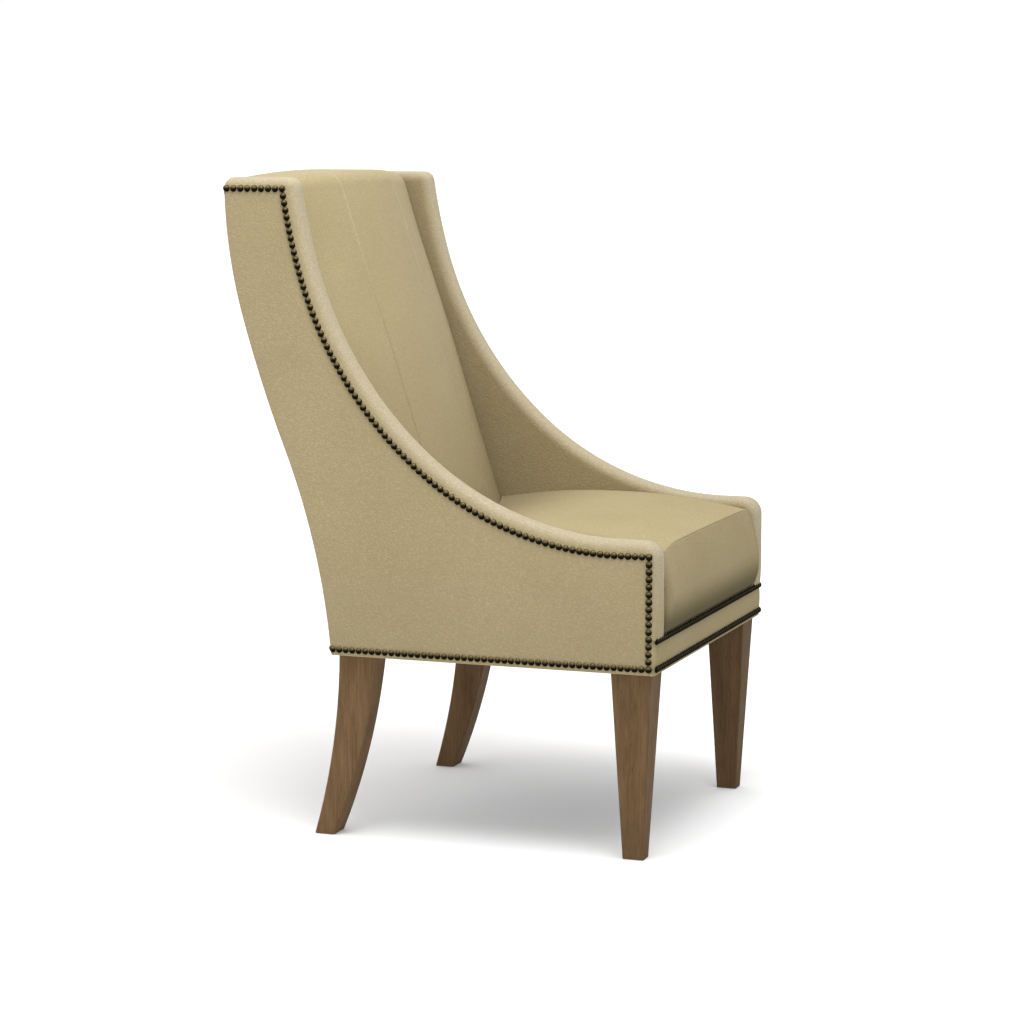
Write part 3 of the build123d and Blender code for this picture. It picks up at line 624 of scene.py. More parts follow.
@dataclass
class Made:
    """A node that was just made."""

    recipe: "Recipe"
    node: bpy.types.Node

    def wire(self, output: int | str = 0) -> Wire:
        """One of its outputs."""
        return Wire(self.recipe, self.node.outputs[output])


class Recipe:
    """The nodes of one material, ending in a Principled shader."""

    def __init__(self, name: str) -> None:
        """Makes an empty material.

        Args:
            name: Its name.
        """
        self.look = bpy.data.materials.new(name)
        self.look.use_nodes = True
        self.tree = self.look.node_tree
        self.tree.nodes.clear()

    def node(
        self, kind: str, settings: dict[str, Any] | None = None, inputs: dict[Any, Any] | None = None
    ) -> Made:
        """Adds a node.

        Args:
            kind: Its type.
            settings: Values set on the node first; "stops" are a ramp's places and colours.
            inputs: Values or wires of its sockets, by name or number.

        Returns:
            The node.
        """
        made = self.tree.nodes.new(kind)
        for key, value in (settings or {}).items():
            if key == "stops":
                ramp = made.color_ramp
                while len(ramp.elements) < len(value):
                    ramp.elements.new(0.5)
                for stop, (place, colour) in zip(ramp.elements, value):
                    stop.position = place
                    stop.color = (*colour, 1.0)
            else:
                setattr(made, key, value)
        for key, value in (inputs or {}).items():
            socket = made.inputs[key]
            if isinstance(value, Wire):
                self.tree.links.new(value.socket, socket)
            else:
                socket.default_value = (*value, 1.0) if socket.type == "RGBA" and len(value) == 3 else value
        return Made(self, made)

    def place(self, scale: Sequence[float] = (1, 1, 1), turn: Sequence[float] = (0, 0, 0)) -> Wire:
        """Object coordinates on turned axes, multiplied by a scale along each of them.

        Args:
            scale: The scale along each axis.
            turn: The turn about each axis, in degrees.

        Returns:
            The coordinates.
        """
        start = self.node("ShaderNodeTexCoord").wire("Object")
        angles = tuple(math.radians(angle) for angle in turn)
        inputs = {"Vector": start, "Rotation": angles, "Scale": tuple(1 / part for part in scale)}
        return self.node("ShaderNodeMapping", {"vector_type": "TEXTURE"}, inputs).wire()

    def share(self, painted_light: Wear) -> Wire:
        """A share that the piece's points carry."""
        return self.node("ShaderNodeAttribute", {"attribute_name": painted_light.value}).wire("Fac")

    def noise(self, where: Wire, scale: float, detail: float, rough: float, bend: float = 0.0) -> Wire:
        """Soft noise, about 0 to 1."""
        inputs = {"Vector": where, "Scale": scale, "Detail": detail, "Roughness": rough, "Distortion": bend}
        return self.node("ShaderNodeTexNoise", {}, inputs).wire("Fac")

    def cells(self, where: Wire, scale: float, feature: str) -> Wire:
        """The distance inside cells, from their edges or their centres."""
        inputs = {"Vector": where, "Scale": scale, "Randomness": 1.0}
        return self.node("ShaderNodeTexVoronoi", {"feature": feature}, inputs).wire("Distance")

    def bands(self, where: Wire, scale: float, way: str) -> Wire:
        """Soft bands across one axis."""
        inputs = {"Vector": where, "Scale": scale}
        return self.node("ShaderNodeTexWave", {"bands_direction": way}, inputs).wire("Fac")

    def axis(self, vector: Wire, name: str) -> Wire:
        """One coordinate of a vector."""
        return self.node("ShaderNodeSeparateXYZ", {}, {"Vector": vector}).wire(name)

    def ramp(self, value: Wire, stops: Sequence[tuple[float, Sequence[float]]]) -> Wire:
        """A value as a colour between stops."""
        return self.node("ShaderNodeValToRGB", {"stops": list(stops)}, {"Fac": value}).wire("Color")

    def blend(self, share: Any, first: Any, second: Any, kind: str = "MIX") -> Wire:
        """Two colours mixed by a share."""
        settings = {"data_type": "RGBA", "blend_type": kind}
        return self.node("ShaderNodeMix", settings, {0: share, 6: first, 7: second}).wire(2)

    def bump(self, height: Wire, strength: float, depth: float) -> Wire:
        """A bumped normal from a height, at a depth in millimetres."""
        inputs = {"Height": height, "Strength": strength, "Distance": depth * MM}
        return self.node("ShaderNodeBump", {}, inputs).wire()

    def finish(self, **inputs: Any) -> bpy.types.Material:
        """Ends in a Principled shader.

        Args:
            inputs: Values or wires of its sockets, named with underscores for spaces.

        Returns:
            The material.
        """
        named = {key.replace("_", " "): value for key, value in inputs.items()}
        shader = self.node("ShaderNodeBsdfPrincipled", {}, named).wire("BSDF")
        self.node("ShaderNodeOutputMaterial", {}, {"Surface": shader})
        return self.look


# Finishes
@dataclass(frozen=True)
class Finish:
    """A finish, with the record's slot that it belongs to."""

    slot: str

    def recipe(self) -> bpy.types.Material:
        """Makes the material with its nodes."""
        raise NotImplementedError

    def material(self) -> bpy.types.Material:
        """The finish's one material, made when it is first asked for.

        Returns:
            The material, named for its slot and its finish.
        """
        name = f"{self.slot}_{type(self).__name__.lower()}"
        look = bpy.data.materials.get(name) or self.recipe()
        look.name = name
        return look


@dataclass(frozen=True)
class Leather(Finish):
    """Pebbled leather: slanted cells about 3 mm wide and 8 mm long, with painted shade in creases and a
    painted highlight on the rolls.
    """

    slot: str = "leather"
    light: Colour = (0.395, 0.323, 0.181)
    dark: Colour = (0.368, 0.298, 0.163)
    # The paler colour of the painted highlight.
    worn: Colour = (0.482, 0.432, 0.325)
    stretch: tuple[float, float, float] = (1.0, 0.36, 1.2)
    slant: tuple[float, float, float] = (30, 0, 0)
    pebbles: float = 350.0
    clouds: float = 7.0
    pits: float = 1300.0
    drifts: float = 290.0
    groove_tone: float = 0.52
    # How dark the painted shade goes.
    crease_tone: float = 0.22
    rough: float = 0.50
    gloss: float = 0.14

    def recipe(self) -> bpy.types.Material:
        """Clouded, dyed colour over slanted pebbled grain, with painted highlight and painted shade mixed in.

        Returns:
            The material.
        """
        kit = Recipe(self.slot)
        where = kit.place(self.stretch, self.slant)
        cloud = kit.noise(kit.place(), self.clouds, 3.0, 0.55)
        cells = (kit.cells(where, self.pebbles, "DISTANCE_TO_EDGE") * 2.4).held()
        pits = kit.noise(where, self.pits, 3.0, 0.6)
        drift = kit.noise(where, self.drifts, 3.0, 0.55)
        # Painted shade, from the points' share, darkens the colour towards a deep brown.
        crease = kit.share(Wear.CREASE)
        fresh = kit.ramp(cloud, [(0.3, self.dark), (0.7, self.light)])
        # Painted highlight, from the points' share, mixes in a paler colour.
        dye_and_highlight = kit.blend(kit.share(Wear.PALE), fresh, self.worn)
        grooves = (1 - cells) * 0.4 + (drift - 0.5) * 0.4
        grained = kit.blend(grooves.held(), dye_and_highlight, toned(self.dark, self.groove_tone))
        colour = kit.blend(crease * 0.9, grained, toned(self.dark, self.crease_tone))
        rough = self.rough + (1 - cells) * 0.12 + (cloud - 0.5) * 0.1 + crease * 0.2
        normal = kit.bump(cells * 0.8 + pits * 0.2 + drift * 0.5, 0.55, 0.6)
        return kit.finish(Base_Color=colour, Roughness=rough, Normal=normal, Specular_IOR_Level=self.gloss)


@dataclass(frozen=True)
class MattLeather(Leather):
    """The same leather without gloss, for the seat and the band, which see the floor at a flat angle; its
    colours are a copy of the leather's with painted light, set for how these parts are lit.
    """

    light: Colour = (0.385, 0.321, 0.187)
    dark: Colour = (0.359, 0.297, 0.169)
    gloss: float = 0.0


@dataclass(frozen=True)
class AntiqueBrass(Finish):
    """Dark aged brass: gold on the upward-facing top of each dome, a painted highlight, over near-black
    patination and painted shade below and round the rim.
    """

    slot: str = "antique_brass"
    gold: Colour = (0.150, 0.110, 0.044)
    # Near-black colour of the painted shade and patination below and round the rim.
    patina: Colour = (0.004, 0.0035, 0.0025)
    specks: float = 700.0
    gloss: float = 0.03

    def recipe(self) -> bpy.types.Material:
        """Near-black patination and painted shade over gold by the slope of the surface, the upward-facing
        gold a painted highlight, broken up by fine specks.

        Returns:
            The material.
        """
        kit = Recipe(self.slot)
        speck = kit.noise(kit.place(), self.specks, 3.0, 0.6)
        slope = kit.axis(kit.node("ShaderNodeTexCoord").wire("Normal"), "Z")
        # Painted highlight: gold where a dome faces up, near-black where it faces down.
        highlight_share = ((slope + 0.05) * 1.3 + (speck - 0.5) * 0.35).held()
        # Painted shade from the points' share darkens towards the rims, and whole heads where the share is
        # set higher.
        share = highlight_share * (1 - kit.share(Wear.CREASE) * 0.95)
        return kit.finish(
            Base_Color=kit.blend(share, self.patina, self.gold),
            Roughness=0.42 + (1 - share) * 0.2,
            Metallic=share * 0.6,
            Normal=kit.bump(speck, 0.12, 0.2),
            Specular_IOR_Level=self.gloss,
        )


@dataclass(frozen=True)
class LegWood(Finish):
    """Stained hardwood with fine upright grain, dark pores, a low-sheen lacquer and painted shade that
    darkens the legs towards +X.
    """

    slot: str = "leg_wood"
    light: Colour = (0.200, 0.124, 0.062)
    dark: Colour = (0.100, 0.058, 0.027)
    # Painted shade: a base multiplier, and how far it falls per metre towards +X and rises towards +Y.
    tone: float = 0.91
    tone_drift: tuple[float, float] = (0.25, 0.27)
    gloss: float = 0.04

    def recipe(self) -> bpy.types.Material:
        """Streaks along the leg, with short pores, darkened towards +X and lightened towards +Y by painted
        shade.

        Returns:
            The material.
        """
        kit = Recipe(self.slot)
        broad = kit.noise(kit.place((1, 1, 0.12)), 55.0, 4.0, 0.55, 0.6)
        fine = kit.noise(kit.place((1, 1, 0.035)), 420.0, 4.0, 0.65, 0.2)
        pores = ((kit.noise(kit.place((1, 1, 0.06)), 900.0, 2.0, 0.5) - 0.60) * 7.0).held()
        grain = (broad * 0.55 + fine * 0.6 - 0.08).held()
        wood = kit.ramp(grain, [(0.28, self.dark), (0.72, self.light)])
        # Painted shade: the wood colour times a multiplier that falls towards +X and rises towards +Y.
        across, back = self.tone_drift
        spot = kit.place()
        tone = self.tone - kit.axis(spot, "X") * across + kit.axis(spot, "Y") * back
        shaded_wood = kit.blend(1.0, wood, tone, "MULTIPLY")
        colour = kit.blend(pores * 0.55, shaded_wood, toned(self.dark, 0.45))
        rough = 0.6 + pores * 0.2 + (fine - 0.5) * 0.16
        normal = kit.bump(fine * 0.5 - pores * 0.6, 0.22, 0.25)
        return kit.finish(Base_Color=colour, Roughness=rough, Normal=normal, Specular_IOR_Level=self.gloss)


@dataclass(frozen=True)
class RawWood(Finish):
    """Unfinished wood of the hidden frame, with layered edges where it is plywood."""

    slot: str = "frame_wood"
    light: Colour = (0.62, 0.45, 0.27)
    dark: Colour = (0.46, 0.31, 0.17)
    layers: float = 0.0

    def recipe(self) -> bpy.types.Material:
        """Long streaks, and thin layers across the sheet where there are any.

        Returns:
            The material.
        """
        kit = Recipe(self.slot)
        streak = kit.noise(kit.place((1, 0.15, 0.15)), 90.0, 4.0, 0.6, 0.4)
        fibre = kit.noise(kit.place((1, 0.05, 0.3)), 600.0, 3.0, 0.6)
        grain = (streak * 0.6 + fibre * 0.5 - 0.05).held()
        colour = kit.ramp(grain, [(0.3, self.dark), (0.75, self.light)])
        if self.layers:
            colour = kit.blend(kit.bands(kit.place(), self.layers, "X") * 0.3, colour, self.dark)
        normal = kit.bump(fibre, 0.3, 0.4)
        return kit.finish(Base_Color=colour, Roughness=0.62 + (fibre - 0.5) * 0.2, Normal=normal)


@dataclass(frozen=True)
class Foam(Finish):
    """Open-cell foam."""

    slot: str = "foam"
    tint: Colour = (0.78, 0.70, 0.46)

    def recipe(self) -> bpy.types.Material:
        """Round cells in pale yellow.

        Returns:
            The material.
        """
        kit = Recipe(self.slot)
        cells = (kit.cells(kit.place(), 800.0, "F1") * 1.4).held()
        colour = kit.blend(cells * 0.4, self.tint, toned(self.tint, 0.7))
        return kit.finish(Base_Color=colour, Roughness=0.9 - cells * 0.1, Normal=kit.bump(cells, 0.5, 0.6))


@dataclass(frozen=True)
class Weave(Finish):
    """Plain weave: threads over and under along two ways."""

    slot: str = "webbing"
    thread: Colour = (0.055, 0.053, 0.050)
    count: float = 110.0

    def recipe(self) -> bpy.types.Material:
        """Two crossing sets of bands as height and shade.

        Returns:
            The material.
        """
        kit = Recipe(self.slot)
        where = kit.place()
        fluff = kit.noise(where, 900.0, 3.0, 0.6)
        height = kit.bands(where, self.count, "X") * kit.bands(where, self.count, "Y") + fluff * 0.3
        colour = kit.blend((height * 0.6).held(), toned(self.thread, 0.5), self.thread)
        rough = 0.84 + (fluff - 0.5) * 0.1
        return kit.finish(Base_Color=colour, Roughness=rough, Normal=kit.bump(height, 0.4, 0.4))


@dataclass(frozen=True)
class PlatedSteel(Finish):
    """Zinc-plated steel of the hidden fasteners."""

    slot: str = "steel"
    tint: Colour = (0.55, 0.56, 0.57)

    def recipe(self) -> bpy.types.Material:
        """Faint scratches and spots of matt plating.

        Returns:
            The material.
        """
        kit = Recipe(self.slot)
        spots = kit.noise(kit.place(), 240.0, 4.0, 0.6)
        lines = kit.noise(kit.place((1, 1, 0.05)), 900.0, 2.0, 0.5)
        colour = kit.blend((spots - 0.2).held() * 0.5, self.tint, toned(self.tint, 0.7))
        normal = kit.bump(lines, 0.12, 0.15)
        return kit.finish(Base_Color=colour, Roughness=0.30 + spots * 0.16, Metallic=1.0, Normal=normal)


@dataclass(frozen=True)
class GlideNylon(Finish):
    """Scuffed nylon of the foot glides."""

    slot: str = "glide_plastic"
    tint: Colour = (0.040, 0.034, 0.030)

    def recipe(self) -> bpy.types.Material:
        """Scuffs that turn the nylon paler and duller.

        Returns:
            The material.
        """
        kit = Recipe(self.slot)
        scuff = (kit.noise(kit.place((1, 0.3, 1)), 320.0, 4.0, 0.6) - 0.35).held()
        colour = kit.blend(scuff, self.tint, toned(self.tint, 2.2))
        return kit.finish(Base_Color=colour, Roughness=0.5 + scuff * 0.3, Normal=kit.bump(scuff, 0.2, 0.2))


# Upholstery
@dataclass
class Cushion:
    """Shared work of the padded pieces: swelling under pressure, then sewn lines."""

    pressure: float = 4.0
    stiffness: float = 25.0
    bending: float = 4.0
    cap: float = 5.0
    frames: int = 20

    def swell(self, piece: bpy.types.Object, pinned: Array) -> None:
        """Swells a closed skin by Cloth with pressure and no gravity, no further than the cap.

        Each point moves by the simulated way, cut to the cap where it is longer.

        Args:
            piece: The skin.
            pinned: For each point, 1 where it stays and 0 where it is free.
        """
        scene = bpy.context.scene
        group = piece.vertex_groups.new(name="held")
        weights = np.round(pinned, 1)
        for weight in np.unique(weights):
            group.add(np.flatnonzero(weights == weight).tolist(), float(weight), "REPLACE")
        cloth = piece.modifiers.new("swell", "CLOTH")
        cloth.settings.use_pressure = True
        cloth.settings.uniform_pressure_force = self.pressure
        cloth.settings.vertex_group_mass = group.name
        cloth.settings.effector_weights.gravity = 0.0
        cloth.settings.tension_stiffness = self.stiffness
        cloth.settings.compression_stiffness = self.stiffness
        cloth.settings.bending_stiffness = self.bending
        cloth.collision_settings.use_self_collision = False
        cloth.point_cache.frame_start = 1
        cloth.point_cache.frame_end = self.frames
        for number in range(1, self.frames + 1):
            scene.frame_set(number)
        bpy.context.view_layer.update()
        shown = piece.evaluated_get(bpy.context.evaluated_depsgraph_get())
        rest = read(piece.data.vertices)
        way = read(shown.data.vertices) - rest
        far = np.linalg.norm(way, axis=1, keepdims=True)
        way *= np.minimum(1.0, self.cap * MM / np.maximum(far, 1e-9))
        piece.modifiers.remove(cloth)
        piece.vertex_groups.remove(group)
        scene.frame_set(1)
        move(piece, rest + way)
        LOG.info("%s swelled by %.1f mm at most", piece.name, min(self.cap, far.max() / MM))

    @staticmethod
    def sink(piece: bpy.types.Object, depth: Array) -> None:
        """Presses each point in along its normal by a depth in millimetres."""
        inwards = read(piece.data.vertex_normals, "vector") * depth[:, None] * MM
        move(piece, read(piece.data.vertices) - inwards)


@dataclass
class SeatCushion(Cushion):
    """The tight seat: full front, sewn front edge, crowned top, rounded where it meets the arms."""

    cap: float = 3.0
    side_top: float = 500.0
    crown: float = 7.0
    front_top: float = 480.0
    front_crown: float = 7.0
    rear_top: float = 480.0
    edge_setback: float = 8.0
    edge_bow: float = 10.4
    belly: float = 15.0
    belly_flat: float = 1.5
    front_foot: float = 1.2
    rear_gap: float = 0.3
    under_rise: float = 8.0
    side_round: float = 11.0
    edge_drop: float = 9.0
    drop_from: float = 186.0
    far_drop: float = 0.4
    side_pins: Span = (215.0, 249.0)
    low_pins: Span = (385.0, 355.0)
    rear_pins: Span = (-40.0, -10.0)
    seam_pins: float = 9.0
    seam_width: float = 1.0
    seam_depth: float = 1.2
    seam_fade: Span = (-165.0, -225.0)
    # Painted shade where the front tucks under, beside the arms and before the back.
    fold: Span = (416.0, 356.0)
    fold_depth: float = 30.0
    gutter: Span = (226.0, 256.0)
    valley: Span = (-220.0, 0.0)
    stations: int = 151

    def across(self) -> Array:
        """Places across, closer together near the arms: a line bent by a sine."""
        spread = np.linspace(-1, 1, self.stations)
        return (FORM.cushion_half * (0.62 * spread + 0.38 * np.sin(spread * np.pi / 2)))[:, None]

    def edge(self, x: Array) -> tuple[Array, Array]:
        """The front edge, bowed out and crowned in the middle, dropping most beside the right arm.

        Args:
            x: Places across.

        Returns:
            Its depth and its height.
        """
        share = FORM.share(x)
        beside = step(np.abs(x), (self.drop_from, FORM.cushion_half)) * np.where(x < 0, 1.0, self.far_drop)
        depth = self.edge_setback - self.edge_bow * share
        return depth, self.front_top + self.front_crown * share - self.edge_drop * beside

    def sections(self) -> Array:
        """Rings of the seat, one at each place across: up the front, over the top, down the rear, and under.

        The front is its straight run plus a belly, a skewed half sine; the top rises from the line between
        its front and rear edge by one less a power of the distance from its middle; the sides draw in by a
        quarter circle.

        Returns:
            Points in metres: place across, place on the ring, coordinate.
        """
        x = self.across()
        share = FORM.share(x)
        draw = drawn_in(FORM.cushion_half - np.abs(x), self.side_round)
        edge_s, edge_z = self.edge(x)
        low = FORM.cover_bottom
        rise = np.concatenate([np.linspace(0, 0.9, 40)[:-1], np.linspace(0.9, 1, 15)[:-1]])[None, :]
        front_z = low + (edge_z - low) * rise
        belly = (self.belly - self.belly_flat * share) * np.sin(np.pi * rise**0.72) ** 0.9
        straight = self.front_foot + (edge_s - self.front_foot) * rise
        front_s = straight - belly + np.minimum(draw, 1.0 + 30 * rise)
        edge_s = edge_s + draw
        rear_s = FORM.back_face(self.rear_top, x) - self.rear_gap
        run = np.concatenate([np.linspace(0, 0.03, 14)[:-1], np.linspace(0.03, 1, 60)[:-1]])[None, :]
        top_s = edge_s + (rear_s - edge_s) * run
        lift = self.side_top + self.crown * share - 0.7 * draw
        base = edge_z + (self.rear_top - edge_z) * run
        top_z = base + (lift - (edge_z + self.rear_top) / 2) * (1 - np.abs(2 * run - 1) ** 2.2)
        down = np.linspace(0, 1, 13)[None, :-1]
        rear_z = self.rear_top + (low - self.rear_top) * down + 0 * x
        rear_line = FORM.back_face(rear_z, x) - self.rear_gap
        under = np.linspace(0, 1, 25)[None, :-1]
        foot_rear = FORM.back_face(low, x) - self.rear_gap
        under_s = foot_rear + (front_s[:, :1] - foot_rear) * under
        under_z = low + self.under_rise * np.minimum(1, np.minimum(under, 1 - under) * 12) + 0 * x
        depth = np.concatenate([front_s, top_s, rear_line, under_s], axis=1)
        height = np.concatenate([front_z, top_z, rear_z, under_z], axis=1)
        return FORM.place(x, depth, height)

    def seam_distance(self, spots: Array) -> Array:
        """How far each point lies from the front edge's seam."""
        depth, height = self.edge(spots[:, 0])
        return np.hypot(spots[:, 1] - depth, spots[:, 2] - height)

    def build(self, finish: Finish) -> bpy.types.Object:
        """Builds, swells, sews and dresses the seat.

        Args:
            finish: Its leather.

        Returns:
            The piece.
        """
        piece = closed_form("seat_cushion", self.sections())
        spots = spots_of(piece)
        x, depth, height = spots.T
        behind = depth - FORM.back_face(height, x)
        side = step(np.abs(x), self.side_pins)
        low = step(height, self.low_pins)
        rear = step(behind, self.rear_pins)
        seam = bell(self.seam_distance(spots), self.seam_pins)
        self.swell(piece, np.maximum.reduce([side, low, rear, seam]))
        shown = 1 - 0.85 * step(x, self.seam_fade)
        sewn = shown * bell(self.seam_distance(spots_of(piece)), self.seam_width)
        self.sink(piece, self.seam_depth * sewn)
        # Painted shade at the front's tuck, beside the arms and before the back; the seam line is darker too.
        fold = step(height, self.fold) * (depth < self.fold_depth)
        gutter = step(np.abs(x), self.gutter)
        valley = step(behind, self.valley)
        Wear.CREASE.store(piece, np.maximum.reduce([0.95 * fold, 0.8 * sewn, 0.3 * gutter, 0.5 * valley]))
        return dressed(piece, finish, "seat_cover", "seat_foam")


@dataclass
class BackCushion(Cushion):
    """The inside back: a leaning crowned face, a rolled top over the crest rail and two sewn lines."""

    side_top: float = 1033.0
    top_crown: float = 9.6
    front_corner: float = 30.0
    rear_corner: float = 9.0
    slack: float = 2.5
    recline: float = 6.0
    side_round: float = 14.0
    foot_rise: float = 8.0
    leather: float = 2.4
    seams: float = 109.0
    seam_width: float = 1.8
    seam_depth: float = 0.9
    side_pins: Span = (212.0, 246.0)
    low_pins: Span = (505.0, 465.0)
    high_pins: Span = (1002.0, 1024.0)
    rear_pins: Span = (-30.0, -16.0)
    # Painted highlight on the upper seams, and painted shade down the sides.
    pale: Span = (780.0, 940.0)
    gutter: Span = (232.0, 256.0)
    stations: int = 141

    def sections(self) -> Array:
        """Rings of the back: for each place across, up the leaning face, over the top and down behind.

        Face and top are straight runs joined by a quarter turn, the face leaning away by an even step near
        the top, and all of it is drawn in by a quarter circle at the sides.

        Returns:
            Points in metres: place across, place on the ring, coordinate.
        """
        half = FORM.cushion_half
        seam = self.seams + np.linspace(-5, 5, 11)
        x = np.sort(np.concatenate([np.linspace(-half, half, self.stations), seam, -seam]))[:, None]
        share = FORM.share(x)
        draw = drawn_in(half - np.abs(x), self.side_round)
        lean = math.atan(FORM.lean)
        top = self.side_top + self.top_crown * share - 0.35 * draw
        corner_z = top - self.front_corner * (1 - math.sin(lean))
        low = FORM.cover_bottom + self.foot_rise
        rise = np.linspace(0, 1, 90)[None, :-1]
        face_z = low + (corner_z - low) * rise
        ease = self.slack * smooth(rise * 6) * smooth((1 - rise) * 6)
        ease = ease + self.recline * step(rise, (0.6, 1.0))
        face_s = FORM.back_face(face_z, x) + draw + ease
        centre_s = FORM.back_face(corner_z, x) + draw + self.recline + self.front_corner * math.cos(lean)
        centre_z = corner_z - self.front_corner * math.sin(lean)
        turn = np.linspace(math.pi - lean, math.pi / 2, 16)[None, :]
        corner_s = centre_s + self.front_corner * np.cos(turn)
        corner_h = centre_z + self.front_corner * np.sin(turn)
        rear = FORM.back_top[0] - 0.2
        bend = np.linspace(math.pi / 2, 0, 9)
        back_s = rear - self.rear_corner + self.rear_corner * np.cos(bend)[None, :] + 0 * x
        back_h = top - self.rear_corner + self.rear_corner * np.sin(bend)[None, :]
        along = np.linspace(0, 1, 10)[None, 1:-1]
        flat_s = corner_s[:, -1:] + (back_s[:, :1] - corner_s[:, -1:]) * along
        flat_h = corner_h[:, -1:] + (back_h[:, :1] - corner_h[:, -1:]) * along
        hook = FORM.nail_top - 1.0
        fall_h = np.linspace(1, 0, 4)[None, 1:] * (top - self.rear_corner - hook) + hook
        fall_s = rear + 0 * fall_h
        post = FORM.post_top
        inner = FORM.post_line(post) - self.leather
        crest_s = np.array([[rear - 2.2, rear - 2.2, inner, inner - 1.6]]) + 0 * x
        crest_h = np.array([[hook, post + 0.6, post + 0.6, post - 6]]) + 0 * x
        behind = np.linspace(1, 0, 24)[None, 1:]
        behind_h = low + (post - 6 - low) * behind + 0 * x
        behind_s = FORM.post_line(behind_h) - self.leather
        depth = np.concatenate([face_s, corner_s, flat_s, back_s, fall_s, crest_s, behind_s], axis=1)
        height = np.concatenate([face_z, corner_h, flat_h, back_h, fall_h, crest_h, behind_h], axis=1)
        return FORM.place(x, depth, height)

    def seam_share(self, spots: Array) -> Array:
        """How far the two upright seams press in: a bell across each, on the face and over the top.

        Args:
            spots: Points in millimetres across, back and up.

        Returns:
            One share per point.
        """
        away = np.abs(np.abs(spots[:, 0]) - self.seams)
        shown = spots[:, 1] < FORM.post_line(spots[:, 2]) - 12
        shown |= spots[:, 2] > FORM.post_top + 2
        return np.where(shown, bell(away, self.seam_width), 0.0)

    def build(self, finish: Finish) -> bpy.types.Object:
        """Builds, swells, sews and dresses the inside back.

        Args:
            finish: Its leather.

        Returns:
            The piece.
        """
        piece = closed_form("inside_back_cushion", self.sections())
        x, depth, height = spots_of(piece).T
        side = step(np.abs(x), self.side_pins)
        low = step(height, self.low_pins)
        high = step(height, self.high_pins)
        behind = step(depth - FORM.post_line(height), self.rear_pins)
        self.swell(piece, np.maximum.reduce([side, low, high, behind]))
        sewn = self.seam_share(spots_of(piece))
        self.sink(piece, self.seam_depth * sewn)
        # Painted highlight on the seams' upper part; painted shade down the sides, and a darker seam line
        # lower down.
        upper = step(height, self.pale)
        Wear.PALE.store(piece, 0.6 * sewn * upper)
        gutter = step(np.abs(x), self.gutter)
        Wear.CREASE.store(piece, np.maximum(0.4 * gutter, 0.25 * sewn * (1 - upper)))
        return dressed(piece, finish, "inside_back_cover", "back_foam")


